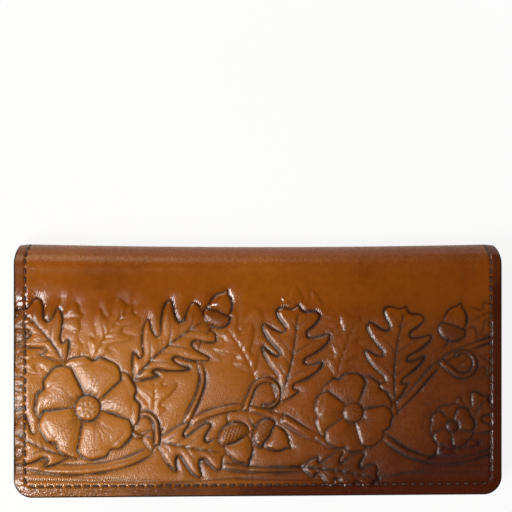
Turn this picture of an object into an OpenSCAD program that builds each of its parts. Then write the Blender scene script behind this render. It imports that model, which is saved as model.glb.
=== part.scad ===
/* [Cover] */
// Length of the closed cover, along the fold
cover_length = 171.5; // [166:0.5:190]
// Depth of the closed cover, from the open edge to the outside of the fold
cover_depth = 88.5; // [86:0.5:100]
// Thickness of the closed cover, which is also the outer diameter of the fold
cover_thickness = 17; // [17:0.5:22]
// Thickness of the outer leather
leather_t = 1.8; // [1.2:0.1:1.8]
// Thickness of the lining
lining_t = 0.6; // [0.3:0.1:0.6]
// Radius of the two corners at the open edge
corner_r = 6.5; // [3:0.5:10]
// Radius of the side edge where it draws in towards the fold
waist_r = 9; // [9:0.5:20]
// Distance from the outside of the fold at which the side edge starts to draw in
waist_reach = 6.5; // [3:0.5:8]

/* [Seam] */
// Distance from the cut edge to the middle of the stitch line
stitch_margin = 4; // [2.5:0.5:5]
// Width of the groove that the stitches lie in
groove_w = 1; // [0.6:0.1:1.4]
// Depth of the groove that the stitches lie in
groove_d = 0.35; // [0.1:0.05:0.5]
// Width of the flat border along the three sewn sides of a pocket
seam_w = 7; // [7:0.5:9]

/* [Pockets] */
// Thickness of the pocket leather
pocket_t = 0.9; // [0.6:0.1:0.9]
// Height of the slot that a check or a register slides into
pocket_gap = 0.6; // [0.3:0.1:0.6]
// Distance from the start of the fold to a pocket's mouth
mouth_setback = 11.75; // [11:0.25:16]
// Depth of the thumb notch in the register pocket's mouth
thumb_depth = 5; // [2:0.5:8]
// Radius of the thumb notch
thumb_r = 28; // [20:1:40]
// Distance of the thumb notch from the middle of the register pocket
thumb_x = 46; // [44:1:50]

/* [Card slots] */
// Inner width of a card slot
card_w = 88; // [86.5:0.5:94]
// Thickness of a card slot's leather
card_t = 0.6; // [0.4:0.1:0.6]
// Height of the space that a card slides into
card_gap = 0.5; // [0.3:0.1:0.5]
// Distance between one slot's mouth and the next
card_step = 8; // [6:0.5:10]
// Distance from the register pocket's mouth to the first slot's mouth
card_setback = 2; // [1.5:0.5:4]
// Distance between one slot's foot and the next, the last one on the seam at the open edge
foot_step = 5; // [0:0.5:8]
// Width of the seam that closes the inner side of the slots
card_seam = 5; // [4:0.5:7]

/* [Card window] */
// Thickness of the window's leather frame
frame_t = 0.7; // [0.5:0.1:0.7]
// Height of the space behind the frame, for its clear sheet and a card
frame_gap = 0.8; // [0.6:0.1:0.8]
// Thickness of the clear sheet
window_t = 0.3; // [0.2:0.05:0.4]
// Width of the frame between the window and the inside of its seams
frame_rim = 6.5; // [4:0.5:10]
// Corner radius of the window
window_r = 4; // [2:0.5:6]

/* [Pen loop] */
// Radius of the loop's bore
pen_r = 4; // [3.5:0.1:4]
// Thickness of the loop's leather
loop_t = 0.8; // [0.7:0.1:0.9]
// Length of the loop along the pen
loop_l = 32; // [20:1:45]
// Width of the sewn tab that holds the loop
loop_tab = 8; // [6:0.25:8.25]

/* [Divider] */
// Thickness of the clear divider leaf
leaf_t = 0.4; // [0.2:0.05:0.4]
// Width of the divider leaf, along the fold
leaf_w = 152; // [140:1:154]
// Length of the divider leaf from the strip that holds it
leaf_l = 62; // [50:1:64]
// Corner radius of the divider leaf
leaf_r = 6; // [3:0.5:12]
// Width of the folded strip that holds the divider leaf
strip_w = 5; // [4:0.5:7]

/* [Hidden] */
// The round of a circle in the drawing; every arc is exact in the solids
$fn = 96;
// The fold is drawn as this many strips side by side, so that it can roll flat
fold_strips = 5;
fold_arc = 180 / fold_strips;
// Space between a hinged piece and the piece that it turns on
running_gap = 0.05;
// Space between a loose leaf and what it lies on
leaf_gap = 0.3;
// Space between a pocket's mouth and a piece sewn beside it
mouth_gap = 0.6;
// How far a cutting shape runs past what it cuts
past = 1;

fold_r = cover_thickness / 2;
open_y = -cover_depth / 2;
fold_end_y = cover_depth / 2;
fold_y = fold_end_y - fold_r;
lining_z = leather_t;
inner_z = leather_t + lining_t;
mouth_y = fold_y - mouth_setback;
pocket_h = pocket_gap + pocket_t;
slot_h = card_gap + card_t;
slot_left = -cover_length / 2 + seam_w;
slot_right = slot_left + card_w;
slots_right = slot_right + card_seam;
beside_mouth_y = mouth_y + mouth_gap;
leaf_top = inner_z + pocket_h + leaf_gap + leaf_t;
strip_h = leaf_top - inner_z;
window_bottom = slot_low(2) + frame_rim;
window_top = slot_mouth(2) - frame_rim;

// Each slot has a number: 0 is the one nearest the fold, and the window frame is 2
function slot_mouth(i) = mouth_y - card_setback - i * card_step;
// Where the space for a card ends, towards the open edge
function slot_low(i) = open_y + seam_w + (2 - i) * foot_step;
// Width of the flat border outside the step where a slot's leather rises
function slot_border(i) = seam_w - (i + 1) * card_t;
// Heights above the lining at which a slot's leather lies on the sewn border,
// on the seam beside the slots, and on the raised middle of the slot below
function border_z(i) = pocket_t + i * card_t;
function seam_z(i) = pocket_h + i * card_t;
function slot_z(i) = pocket_h + i * slot_h;

tan_leather = "peru";
inner_leather = "sienna";
lining_brown = "saddlebrown";
clear_vinyl = [0.85, 0.9, 0.95, 0.35];

// Outline of the closed cover from above, with each side and the open edge drawn in by inset
module plan(inset = 0) {
    half = cover_length / 2 - inset;
    low = open_y + inset;
    r = max(corner_r - inset, 1);
    waist_y = fold_end_y - waist_reach;
    translate([-half, low + r]) square([2 * half, waist_y - low - r]);
    translate([r - half, low]) square([2 * (half - r), r]);
    for (side = [-1, 1])
        translate([side * (half - r), low + r]) circle(r);
    intersection() {
        translate([-half, waist_y]) square([2 * half, waist_reach]);
        union() {
            translate([waist_r - half, waist_y]) square([2 * (half - waist_r), waist_reach]);
            for (side = [-1, 1])
                translate([side * (half - waist_r), waist_y]) circle(waist_r);
        }
    }
}

// The part of the outline between the open edge and the line at height y
module plan_up_to(y, inset = 0) {
    intersection() {
        plan(inset);
        translate([-cover_length, open_y - past]) square([2 * cover_length, y - open_y + past]);
    }
}

// The band that the stitches run in, round the two sides and the open edge
module stitch_band() {
    difference() {
        plan(stitch_margin - groove_w / 2);
        plan(stitch_margin + groove_w / 2);
    }
}

// Rectangle with round corners, between two corners
module round_rectangle(low, high, r) {
    size = high - low;
    translate(low + [r, 0]) square(size - [2 * r, 0]);
    translate(low + [0, r]) square(size - [0, 2 * r]);
    for (x = [low.x + r, high.x - r])
        for (y = [low.y + r, high.y - r])
            translate([x, y]) circle(r);
}

// Moves a piece drawn for the rear half to the same place in the front half
module in_front_half() {
    translate([0, 0, cover_thickness]) mirror([0, 0, 1]) children();
}

// Draws a cross-section in Y and Z along X, centred
module along_x(length) {
    translate([-length / 2, 0, 0]) rotate([90, 0, 90]) linear_extrude(length) children();
}

// One flat half of the outer leather, with its stitch groove in the outside
module cover_panel() {
    difference() {
        linear_extrude(leather_t) plan_up_to(fold_y);
        translate([0, 0, -past]) linear_extrude(past + groove_d)
            intersection() {
                stitch_band();
                plan_up_to(fold_y + past);
            }
    }
}

// One flat half of the lining
module lining_panel() {
    translate([0, 0, lining_z]) linear_extrude(lining_t) plan_up_to(fold_y);
}

// Cross-section of one strip of the fold, between two radii
module strip_section(k, inner_r, outer_r) {
    low = -90 + (k - 1) * fold_arc;
    reach = 2 * cover_thickness;
    translate([fold_y, fold_r])
        intersection() {
            difference() {
                circle(outer_r);
                circle(inner_r);
            }
            polygon([
                [0, 0],
                reach * [cos(low), sin(low)],
                reach * [cos(low + fold_arc / 2), sin(low + fold_arc / 2)],
                reach * [cos(low + fold_arc), sin(low + fold_arc)]
            ]);
        }
}

// One strip of the fold, cut to the drawn-in ends of the cover
module fold_strip(k, inner_r, outer_r) {
    intersection() {
        along_x(cover_length) strip_section(k, inner_r, outer_r);
        translate([0, 0, -past]) linear_extrude(cover_thickness + 2 * past) plan();
    }
}

// A pocket sewn on three sides and open towards the fold, its middle raised to leave a slot
module pocket() {
    difference() {
        union() {
            linear_extrude(pocket_t) plan_up_to(mouth_y);
            linear_extrude(pocket_h) plan_up_to(mouth_y, seam_w);
        }
        translate([0, 0, -past]) linear_extrude(past + pocket_gap)
            plan_up_to(mouth_y + past, seam_w + pocket_t / 2);
        translate([0, 0, pocket_t - groove_d]) linear_extrude(past)
            intersection() {
                stitch_band();
                plan_up_to(mouth_y + past);
            }
    }
}

// The outline at a slot's place, from the sewn side to the line at right
module slot_plan(mouth, right, inset = 0) {
    intersection() {
        plan_up_to(mouth, inset);
        translate([-cover_length, open_y - past]) square([cover_length + right, cover_depth]);
    }
}

// The blocks that a slot's leather is made from: it rises in two steps from the sewn border,
// first on to the register pocket and then over its own cards
module slot_blocks(i, mouth, rise, t, grow = 0) {
    translate([0, 0, border_z(i)]) linear_extrude(pocket_gap + t)
        slot_plan(mouth, slots_right + grow, slot_border(i));
    translate([0, 0, border_z(i)]) linear_extrude(slot_z(i) + rise - border_z(i))
        slot_plan(mouth, slot_right + (i + 1) * card_t, slot_border(i));
}

// A slot's leather: the layers below and the space for a card are cut out of its blocks
module card_slot(i, gap = card_gap, t = card_t) {
    mouth = slot_mouth(i);
    low = slot_low(i);
    difference() {
        union() {
            translate([0, 0, border_z(i)]) linear_extrude(t) slot_plan(mouth, slots_right);
            slot_blocks(i, mouth, gap + t, t);
        }
        linear_extrude(pocket_h) plan_up_to(mouth + past, seam_w);
        if (i > 0) slot_blocks(i - 1, mouth + past, slot_h, card_t, past);
        translate([slot_left, low, slot_z(i) - past])
            cube([card_w, mouth - low + past, past + gap]);
        translate([0, 0, border_z(i) + t - groove_d]) linear_extrude(past)
            intersection() {
                stitch_band();
                plan_up_to(mouth + past);
                translate([-cover_length, open_y - past])
                    square([cover_length + slots_right - past, cover_depth]);
            }
    }
}

// A strap folded round a pen, its two ends sewn together as a tab
module loop_section() {
    outer_r = pen_r + loop_t;
    pen_y = beside_mouth_y + loop_tab;
    difference() {
        union() {
            translate([pen_y, inner_z + outer_r]) circle(outer_r);
            translate([beside_mouth_y, inner_z]) square([loop_tab - pen_r / 2, 2 * loop_t]);
        }
        translate([pen_y, inner_z + outer_r]) circle(pen_r);
    }
}

// Cross-section of the strip that holds the divider leaf, doubled over at its far side
module divider_strip_section() {
    translate([beside_mouth_y, inner_z]) square([strip_w - strip_h / 2, strip_h]);
    translate([beside_mouth_y + strip_w - strip_h / 2, inner_z + strip_h / 2]) circle(strip_h / 2);
}

module rear_cover() {
    color(tan_leather) cover_panel();
}

module rear_lining() {
    color(lining_brown) lining_panel();
}

module check_pocket() {
    color(inner_leather) translate([0, 0, inner_z]) pocket();
}

module divider_strip() {
    color(inner_leather) along_x(leaf_w) divider_strip_section();
}

module divider_leaf() {
    low = beside_mouth_y - running_gap - leaf_l;
    high = beside_mouth_y - running_gap;
    color(clear_vinyl) translate([0, 0, leaf_top - leaf_t]) linear_extrude(leaf_t)
        union() {
            round_rectangle([-leaf_w / 2, low], [leaf_w / 2, high - leaf_r], leaf_r);
            translate([-leaf_w / 2, low + leaf_r]) square([leaf_w, leaf_l - leaf_r]);
        }
}

module fold_leather(k) {
    color(tan_leather) difference() {
        fold_strip(k, fold_r - leather_t, fold_r);
        intersection() {
            translate([0, 0, -past]) linear_extrude(cover_thickness + 2 * past) stitch_band();
            difference() {
                along_x(cover_length) translate([fold_y, fold_r]) circle(fold_r + past);
                along_x(cover_length + past) translate([fold_y, fold_r]) circle(fold_r - groove_d);
            }
        }
    }
}

module fold_lining(k) {
    color(lining_brown) fold_strip(k, fold_r - inner_z, fold_r - lining_z);
}

module front_cover() {
    color(tan_leather) in_front_half() cover_panel();
}

module front_lining() {
    color(lining_brown) in_front_half() lining_panel();
}

module register_pocket() {
    color(inner_leather) in_front_half() translate([0, 0, inner_z])
        difference() {
            pocket();
            translate([thumb_x, mouth_y - thumb_depth + thumb_r, -past])
                cylinder(h = 2 * past + pocket_h, r = thumb_r);
        }
}

module card_slot_1() {
    color(inner_leather) in_front_half() translate([0, 0, inner_z]) card_slot(0);
}

module card_slot_2() {
    color(inner_leather) in_front_half() translate([0, 0, inner_z]) card_slot(1);
}

// The foremost slot: a leather frame with a clear sheet behind it
module window_frame() {
    color(inner_leather) in_front_half() translate([0, 0, inner_z])
        difference() {
            card_slot(2, frame_gap, frame_t);
            linear_extrude(cover_thickness)
                round_rectangle(
                    [slot_left + frame_rim, window_bottom],
                    [slot_right - frame_rim, window_top], window_r
                );
        }
}

module window_sheet() {
    border = frame_rim / 2;
    color(clear_vinyl) in_front_half()
        translate([0, 0, inner_z + slot_z(2) + frame_gap - window_t]) linear_extrude(window_t)
            round_rectangle(
                [slot_left + border, window_bottom - border],
                [slot_right - border, window_top + border], window_r
            );
}

module pen_loop() {
    color(inner_leather) in_front_half() along_x(loop_l) loop_section();
}

rear_cover();
rear_lining();
check_pocket();
divider_strip();
divider_leaf();
fold_leather(1);  // fold_leather_1
fold_leather(2);  // fold_leather_2
fold_leather(3);  // fold_leather_3
fold_leather(4);  // fold_leather_4
fold_leather(5);  // fold_leather_5
fold_lining(1);  // fold_lining_1
fold_lining(2);  // fold_lining_2
fold_lining(3);  // fold_lining_3
fold_lining(4);  // fold_lining_4
fold_lining(5);  // fold_lining_5
front_cover();
front_lining();
register_pocket();
card_slot_1();
card_slot_2();
window_frame();
window_sheet();
pen_loop();
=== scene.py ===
"""Dresses the checkbook cover: tooled outer leather, lining, pockets, card column, pen loop and thread."""
import logging
import math
from dataclasses import dataclass, field
from enum import Enum
from typing import Callable, Sequence

import bpy
import numpy as np
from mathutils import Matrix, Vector, geometry


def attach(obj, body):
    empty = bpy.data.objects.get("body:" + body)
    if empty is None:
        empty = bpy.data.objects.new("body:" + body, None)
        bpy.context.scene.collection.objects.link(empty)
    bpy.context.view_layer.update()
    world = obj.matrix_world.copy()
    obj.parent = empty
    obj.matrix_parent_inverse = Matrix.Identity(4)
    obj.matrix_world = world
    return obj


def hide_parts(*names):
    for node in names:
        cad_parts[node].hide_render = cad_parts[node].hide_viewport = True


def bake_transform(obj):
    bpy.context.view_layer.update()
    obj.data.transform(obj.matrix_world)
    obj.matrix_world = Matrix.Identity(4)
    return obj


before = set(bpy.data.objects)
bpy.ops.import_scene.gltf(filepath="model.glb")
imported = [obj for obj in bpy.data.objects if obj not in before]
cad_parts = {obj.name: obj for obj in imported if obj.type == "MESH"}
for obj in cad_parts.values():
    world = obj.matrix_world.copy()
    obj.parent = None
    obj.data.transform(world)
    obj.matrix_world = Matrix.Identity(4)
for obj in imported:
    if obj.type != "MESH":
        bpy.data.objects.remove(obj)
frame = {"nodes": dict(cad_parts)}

Array = np.ndarray
Material = bpy.types.Material
Node = bpy.types.Node
Piece = bpy.types.Object
Tree = bpy.types.NodeTree
Socket = bpy.types.NodeSocket
Colour = tuple[float, float, float]
Point = tuple[float, float]
Triple = tuple[float, float, float]
HeightAt = Callable[[Array, Array], Array]
MM = 0.001
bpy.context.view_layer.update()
log = logging.getLogger("checkbook_cover")

# Millimetres of air between two layers, and on each side of the line where two lengths of a layer meet.
HAIR = 0.01
SLIT = 0.004
# Degrees above which an edge stays sharp.
CREASE = 45.0
# Divisions of the back of a wrapped sheet, and how far the dye of a cut edge runs on to the lining's back.
BACK_ROWS, BACK_COLUMNS = 24, 16
BACK_DYE = 0.3


class Half(Enum):
    """The half of the closed cover that an inside piece is sewn to."""

    REAR = "rear_half"
    FRONT = "front_half"


def ease(value: Array) -> Array:
    """Smooth step from 0 to 1 as value goes from 0 to 1."""
    t = np.clip(value, 0.0, 1.0)
    return t * t * (3.0 - 2.0 * t)

def bell(distance: Array, width: float | Array) -> Array:
    """Soft bump that is 1 at distance 0 and falls off over a width."""
    return np.exp(-((distance / width) ** 2))


def on_circle(angle: Array) -> Array:
    """Points of the unit circle at angles in radians, one row each."""
    return np.stack([np.cos(angle), np.sin(angle)], -1)


def reach_along(line: Array) -> Array:
    """Distance of each point of a line from its first point, along the line."""
    return np.r_[0.0, np.cumsum(np.hypot(*np.diff(line, axis=0).T))]


def unlike(shape: tuple[int, ...], pitch: float, seed: int, stretch: Point = (1.0, 1.0)) -> Array:
    """Soft random field between -1 and 1 over a raster.

    Args:
        shape: rows and columns of the raster.
        pitch: raster steps between the random values.
        seed: fixed seed.
        stretch: extra spacing along rows and columns.

    Returns:
        An array of the given shape.
    """
    rng = np.random.default_rng(seed)
    step = (pitch * stretch[0], pitch * stretch[1])
    size = [int(n / s) + 3 for n, s in zip(shape, step)]
    values = rng.uniform(-1.0, 1.0, size)
    row, col = (np.arange(n) / s for n, s in zip(shape, step))
    r0, c0 = row.astype(int), col.astype(int)
    fr, fc = ease(row - r0)[:, None], ease(col - c0)[None, :]
    v00, v01 = values[np.ix_(r0, c0)], values[np.ix_(r0, c0 + 1)]
    v10, v11 = values[np.ix_(r0 + 1, c0)], values[np.ix_(r0 + 1, c0 + 1)]
    return (v00 * (1 - fc) + v01 * fc) * (1 - fr) + (v10 * (1 - fc) + v11 * fc) * fr


def outline_distance(outline: Array, points: Array) -> Array:
    """Distance from points to a closed outline, negative inside.

    Args:
        outline: corners in order, one row each.
        points: any number of points, one row each.

    Returns:
        One signed distance for each point.
    """
    best = np.full(len(points), 1e9)
    inside = np.zeros(len(points), bool)
    px, py = points[:, 0], points[:, 1]
    for a, b in zip(outline, np.roll(outline, -1, axis=0)):
        ab = b - a
        t = np.clip(((px - a[0]) * ab[0] + (py - a[1]) * ab[1]) / max(ab @ ab, 1e-12), 0, 1)
        dx, dy = px - a[0] - t * ab[0], py - a[1] - t * ab[1]
        best = np.minimum(best, dx * dx + dy * dy)
        if a[1] != b[1]:
            crosses = (py < a[1]) != (py < b[1])
            inside ^= crosses & (px < a[0] + (py - a[1]) * ab[0] / (b[1] - a[1]))
    return np.where(inside, -1.0, 1.0) * np.sqrt(best)


def line_distance(line: Array, points: Array) -> tuple[Array, Array]:
    """Distance from points to an open line, and how far along the line the nearest point lies.

    Args:
        line: points of the line in order, one row each.
        points: any number of points, one row each.

    Returns:
        The distances, and the places along the line from 0 to 1.
    """
    best = np.full(len(points), 1e9)
    along = np.zeros(len(points))
    reach = reach_along(line)
    for k, (a, b) in enumerate(zip(line[:-1], line[1:])):
        ab = b - a
        t = np.clip(((points - a) @ ab) / max(ab @ ab, 1e-12), 0, 1)
        gap = points - a - t[:, None] * ab
        square = (gap * gap).sum(1)
        nearer = square < best
        best[nearer] = square[nearer]
        along[nearer] = (reach[k] + t * math.sqrt(ab @ ab))[nearer]
    return np.sqrt(best), along / max(reach[-1], 1e-9)


def bend_line(knots: Sequence[Sequence[float]], count: int = 40) -> Array:
    """Smooth line through a few points.

    Args:
        knots: points that the line passes through.
        count: points on the finished line.

    Returns:
        The line's points, one row each.
    """
    k = np.array(knots, float)
    p = np.vstack([2 * k[0] - k[1], k, 2 * k[-1] - k[-2]])
    t = np.linspace(0, len(k) - 1 - 1e-9, count)
    i = t.astype(int)
    f = (t - i)[:, None]
    p0, p1, p2, p3 = p[i], p[i + 1], p[i + 2], p[i + 3]
    square, cube = 2 * p0 - 5 * p1 + 4 * p2 - p3, 3 * p1 - p0 - 3 * p2 + p3
    return 0.5 * (2 * p1 + (p2 - p0) * f + square * f**2 + cube * f**3)


@dataclass(frozen=True)
class CoverForm:
    """Sizes of the closed cover in millimetres, and the rule that wraps the flat leather round the fold."""

    length: float = 171.5
    depth: float = 88.5
    thickness: float = 17.0
    leather: float = 1.8
    lining: float = 0.6
    corner: float = 6.5
    waist: float = 14.8
    waist_reach: float = 6.5
    stitch_margin: float = 4.0
    sag: float = 1.1
    sag_from: float = 24.0
    sag_run: float = 22.0

    @property
    def half(self) -> float:
        """Half of the length."""
        return self.length / 2

    @property
    def fold_r(self) -> float:
        """Outer radius of the fold."""
        return self.thickness / 2

    @property
    def open_y(self) -> float:
        """Y of the open edge."""
        return -self.depth / 2

    @property
    def fold_y(self) -> float:
        """Y of the fold's centre line."""
        return self.depth / 2 - self.fold_r

    @property
    def panel(self) -> float:
        """Flat depth of one half, up to the start of the fold."""
        return self.fold_y - self.open_y

    @property
    def arc(self) -> float:
        """Length of the leather round the fold."""
        return math.pi * self.fold_r

    @property
    def total(self) -> float:
        """Length of the leather from the front's open edge to the rear's."""
        return 2 * self.panel + self.arc

    def at_angle(self, degrees: float) -> float:
        """Place along the leather where it has the given angle: 180 on the front, 0 on the rear."""
        return self.panel + self.arc * (180.0 - degrees) / 180.0

    def fold_angle(self, s: Array) -> Array:
        """Angle round the fold in radians at a place along the leather: pi on the front, 0 on the rear."""
        return np.pi * (1.0 - np.clip((s - self.panel) / self.arc, 0.0, 1.0))

    def outer_y(self, s: Array) -> Array:
        """Y of the outside of the leather at a place along it."""
        s = np.asarray(s, float)
        flat = np.where(s < self.panel, self.open_y + s, self.fold_y + self.panel + self.arc - s)
        folded = (s >= self.panel) & (s <= self.panel + self.arc)
        return np.where(folded, self.fold_y + self.fold_r * np.sin(self.fold_angle(s)), flat)

    def half_width(self, s: Array) -> Array:
        """Half of the leather's width at a place along it.

        Args:
            s: places along the leather.

        Returns:
            One half width for each place.
        """
        y = self.outer_y(s)
        low = np.clip(self.open_y + self.corner - y, 0.0, self.corner)
        high = np.clip(y - (self.depth / 2 - self.waist_reach), 0.0, self.waist)
        corner = self.corner - np.sqrt(self.corner**2 - low**2)
        waist = self.waist - np.sqrt(self.waist**2 - high**2)
        return self.half - corner - waist

    def rim_distance(self, x: Array, s: Array) -> Array:
        """Distance from a point of the leather to its cut edge.

        Args:
            x: distances along the fold.
            s: places along the leather.

        Returns:
            One distance for each point.
        """
        side = self.half_width(s) - np.abs(x)
        end = np.minimum(s, self.total - s)
        dx, dy = np.abs(x) - (self.half - self.corner), self.corner - end
        round_part = self.corner - np.hypot(dx, dy)
        return np.where((dx > 0) & (dy > 0), round_part, np.minimum(side, end))

    def place(self, x: Array, s: Array, h: Array) -> Array:
        """Points of the closed cover from places on the leather.

        Args:
            x: distance along the fold.
            s: distance along the leather, from the front's open edge round to the rear's.
            h: height above the outside of the leather.

        Returns:
            Points in the cover's frame, in millimetres, one row each.
        """
        x, s, h = np.broadcast_arrays(*(np.asarray(v, float) for v in (x, s, h)))
        angle = self.fold_angle(s)
        y = self.fold_y + (self.fold_r + h) * np.sin(angle)
        z = self.fold_r - (self.fold_r + h) * np.cos(angle)
        y = np.where(s < self.panel, self.open_y + s, y)
        y = np.where(s > self.panel + self.arc, self.fold_y + self.panel + self.arc - s, y)
        sagging = ease((self.outer_y(s) - self.sag_from) / self.sag_run)
        droop = self.sag * (1.0 - (x / self.half) ** 2) * sagging
        return np.stack([x, y - droop, z], -1)

    def outward(self, s: Array) -> Array:
        """Direction that the outside of the leather faces, one row for each place along it."""
        angle = self.fold_angle(np.asarray(s, float))
        return np.stack([np.zeros_like(angle), np.sin(angle), -np.cos(angle)], -1)


FORM = CoverForm()


@dataclass(frozen=True)
class Zone:
    """One length of the leather, which moves with one body, or lies between two bodies and is left
    unattached.
    """

    name: str
    start: float
    end: float
    bodies: tuple[str, ...]
    bend_from: Point = (0.0, 0.0)
    bend_to: Point = (0.0, 0.0)
    numbers: tuple[int, ...] = ()
    panel: str = ""

    def nodes(self, layer: str) -> list[str]:
        """Names of the solids that this length of a layer stands for."""
        fold = {"cover": "fold_leather", "lining": "fold_lining"}[layer]
        named = [f"{self.panel}_{layer}"] if self.panel else []
        return named + [f"{fold}_{k}" for k in self.numbers]

    def attach(self, piece: Piece) -> None:
        """Attaches a piece to this length's one body; a piece between two bodies only gets its placement
        baked into its mesh.
        """
        if len(self.bodies) == 1:
            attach(piece, self.bodies[0])
        else:
            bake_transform(piece)


def fold_point(degrees: float, depth: float = 0.0) -> Point:
    """Y and Z of a point of the fold at an angle, at a depth below its outside."""
    a, r = math.radians(degrees), FORM.fold_r - depth
    return FORM.fold_y + r * math.sin(a), FORM.fold_r - r * math.cos(a)


def leather_zones() -> list[Zone]:
    """The five lengths that the outer leather is made in, from the front to the rear."""
    at, face = FORM.at_angle, FORM.thickness
    bend_y = FORM.fold_y - 2.25
    front, upper, lower, rear = 162, 108, 72, 18
    front_bodies, rear_bodies = ("front_half", "fold_5"), ("rear_half", "fold_1")
    top, low = (fold_point(front), fold_point(126)), (fold_point(rear), fold_point(54))
    return [
        Zone("front", 0.0, at(front) - SLIT, front_bodies, (bend_y, face), fold_point(front), panel="front"),
        Zone("fold_upper", at(front) + SLIT, at(upper) - SLIT, ("fold_5", "fold_4"), *top, (5, 4)),
        Zone("fold_middle", at(upper) + SLIT, at(lower) - SLIT, ("fold_3",), numbers=(3,)),
        Zone("fold_lower", at(lower) + SLIT, at(rear) - SLIT, ("fold_1", "fold_2"), *low, (2, 1)),
        Zone("rear", at(rear) + SLIT, FORM.total, rear_bodies, (bend_y, 0.0), fold_point(rear), panel="rear"),
    ]


def lining_zones() -> list[Zone]:
    """The five lengths of the lining, which stays smooth across the strips of the outer leather."""
    at, depth = FORM.at_angle, FORM.leather + FORM.lining
    front, upper, lower, rear = 180, 108, 72, 0
    top = (fold_point(front, depth), fold_point(upper, depth))
    low = (fold_point(rear, depth), fold_point(lower, depth))
    return [
        Zone("front", 0.0, at(front) - SLIT, ("front_half",), panel="front"),
        Zone("fold_upper", at(front) + SLIT, at(upper) - SLIT, ("front_half", "fold_3"), *top, (5, 4)),
        Zone("fold_middle", at(upper) + SLIT, at(lower) - SLIT, ("fold_3",), numbers=(3,)),
        Zone("fold_lower", at(lower) + SLIT, at(rear) - SLIT, ("rear_half", "fold_3"), *low, (2, 1)),
        Zone("rear", at(rear) + SLIT, FORM.total, ("rear_half",), panel="rear"),
    ]


def in_scene(name: str, data: bpy.types.ID) -> Piece:
    """Puts a new object with the given mesh, lamp or camera into the scene."""
    thing = bpy.data.objects.new(name, data)
    bpy.context.scene.collection.objects.link(thing)
    return thing


def new_piece(
    name: str, points: Array, faces: Sequence[Sequence[int]], finish: Material,
    masks: dict[str, Array] | None = None,
) -> Piece:
    """Makes a mesh piece.

    Args:
        name: the piece's name.
        points: its points in millimetres, in the cover's frame.
        faces: its faces, as point numbers in order, seen from outside.
        finish: its material.
        masks: values for each point, by name.

    Returns:
        The new object.
    """
    mesh = bpy.data.meshes.new(name)
    loops = np.concatenate([np.asarray(f, np.int32) for f in faces])
    counts = np.array([len(f) for f in faces], np.int32)
    mesh.vertices.add(len(points))
    mesh.vertices.foreach_set("co", (np.asarray(points, float) * MM).astype(np.float32).ravel())
    mesh.loops.add(len(loops))
    mesh.loops.foreach_set("vertex_index", loops)
    mesh.polygons.add(len(counts))
    mesh.polygons.foreach_set("loop_start", np.r_[0, np.cumsum(counts)[:-1]].astype(np.int32))
    mesh.polygons.foreach_set("use_smooth", np.ones(len(counts), bool))
    mesh.update(calc_edges=True)
    mesh.validate()
    mesh.set_sharp_from_angle(angle=math.radians(CREASE))
    for key, values in (masks or {}).items():
        mask = mesh.attributes.new(key, "FLOAT", "POINT")
        mask.data.foreach_set("value", np.asarray(values, np.float32).ravel())
    mesh.materials.append(finish)
    piece = in_scene(name, mesh)
    log.info("made %s: %d points, %d faces", name, len(points), len(faces))
    return piece


def graded(edge: Sequence[float], span: Point, step: float) -> Array:
    """Distances from a cut edge: the given ones first, then evenly up to the span's end."""
    low, high = span
    count = max(int(round((high - low) / step)), 1)
    return np.r_[np.asarray(edge, float), np.linspace(low, high, count + 1)]


def wrapped_sheet(
    name: str, columns: Array, rows: Array, top: Array, under: float, finish: Material,
    slot: str, masks: dict[str, Array],
) -> Piece:
    """Makes one closed length of a layer that wraps round the fold.

    Args:
        name: the piece's name.
        columns: distances in from the nearer side edge, negative ones on the left, 0 excluded.
        rows: places along the leather, in order.
        top: height of each point of the outside, rows by columns.
        under: height of the inside.
        finish: its material.
        slot: its material slot.
        masks: values for each point of the outside, rows by columns.

    Returns:
        The new object.
    """
    x = sheet_x(columns, rows)
    n, m = x.shape
    s = np.broadcast_to(rows[:, None], x.shape)
    outside = FORM.place(x, s, top).reshape(-1, 3)
    number = np.arange(n * m).reshape(n, m)
    faces = [number[:-1, :-1], number[:-1, 1:], number[1:, 1:], number[1:, :-1]]
    quads = list(np.stack([f.ravel() for f in faces], -1))
    row_cuts = sorted(set(range(0, n, max(n // BACK_ROWS, 1))) | {n - 1})
    column_cuts = sorted(set(range(0, m, max(m // BACK_COLUMNS, 1))) | {m - 1})
    wanted = np.zeros((n, m), bool)
    wanted[[0, -1], :] = True
    wanted[:, [0, -1]] = True
    wanted[np.ix_(row_cuts, column_cuts)] = True
    below = np.full((n, m), -1)
    below[wanted] = n * m + np.arange(wanted.sum())
    inside = FORM.place(x[wanted], s[wanted], under)
    for r0, r1 in zip(row_cuts[:-1], row_cuts[1:]):
        for c0, c1 in zip(column_cuts[:-1], column_cuts[1:]):
            left = below[r0 : r1 + 1, c0] if c0 == 0 else below[[r0, r1], c0]
            far = below[r1, c0 : c1 + 1] if r1 == n - 1 else below[r1, [c0, c1]]
            right = below[r0 : r1 + 1, c1] if c1 == m - 1 else below[[r0, r1], c1]
            near = below[r0, c0 : c1 + 1] if r0 == 0 else below[r0, [c0, c1]]
            quads.append(np.r_[left[:-1], far[:-1], right[::-1][:-1], near[::-1][:-1]])
    rings = [
        (number[0, :], below[0, :]), (number[-1, ::-1], below[-1, ::-1]),
        (number[::-1, 0], below[::-1, 0]), (number[:, -1], below[:, -1]),
    ]
    for upper, lower in rings:
        quads += list(np.stack([upper[:-1], lower[:-1], lower[1:], upper[1:]], -1))
    values = {}
    for key, value in masks.items():
        lower = np.zeros(wanted.sum())
        if key == "rim" and slot == "outer_leather":
            lower = np.ones(wanted.sum())
        elif key == "rim":
            lower = (FORM.rim_distance(x[wanted], s[wanted]) < BACK_DYE) * 1.0
        values[key] = np.r_[np.broadcast_to(value, (n, m)).ravel(), lower]
    return new_piece(name, np.vstack([outside, inside]), quads, finish, values)


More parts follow.
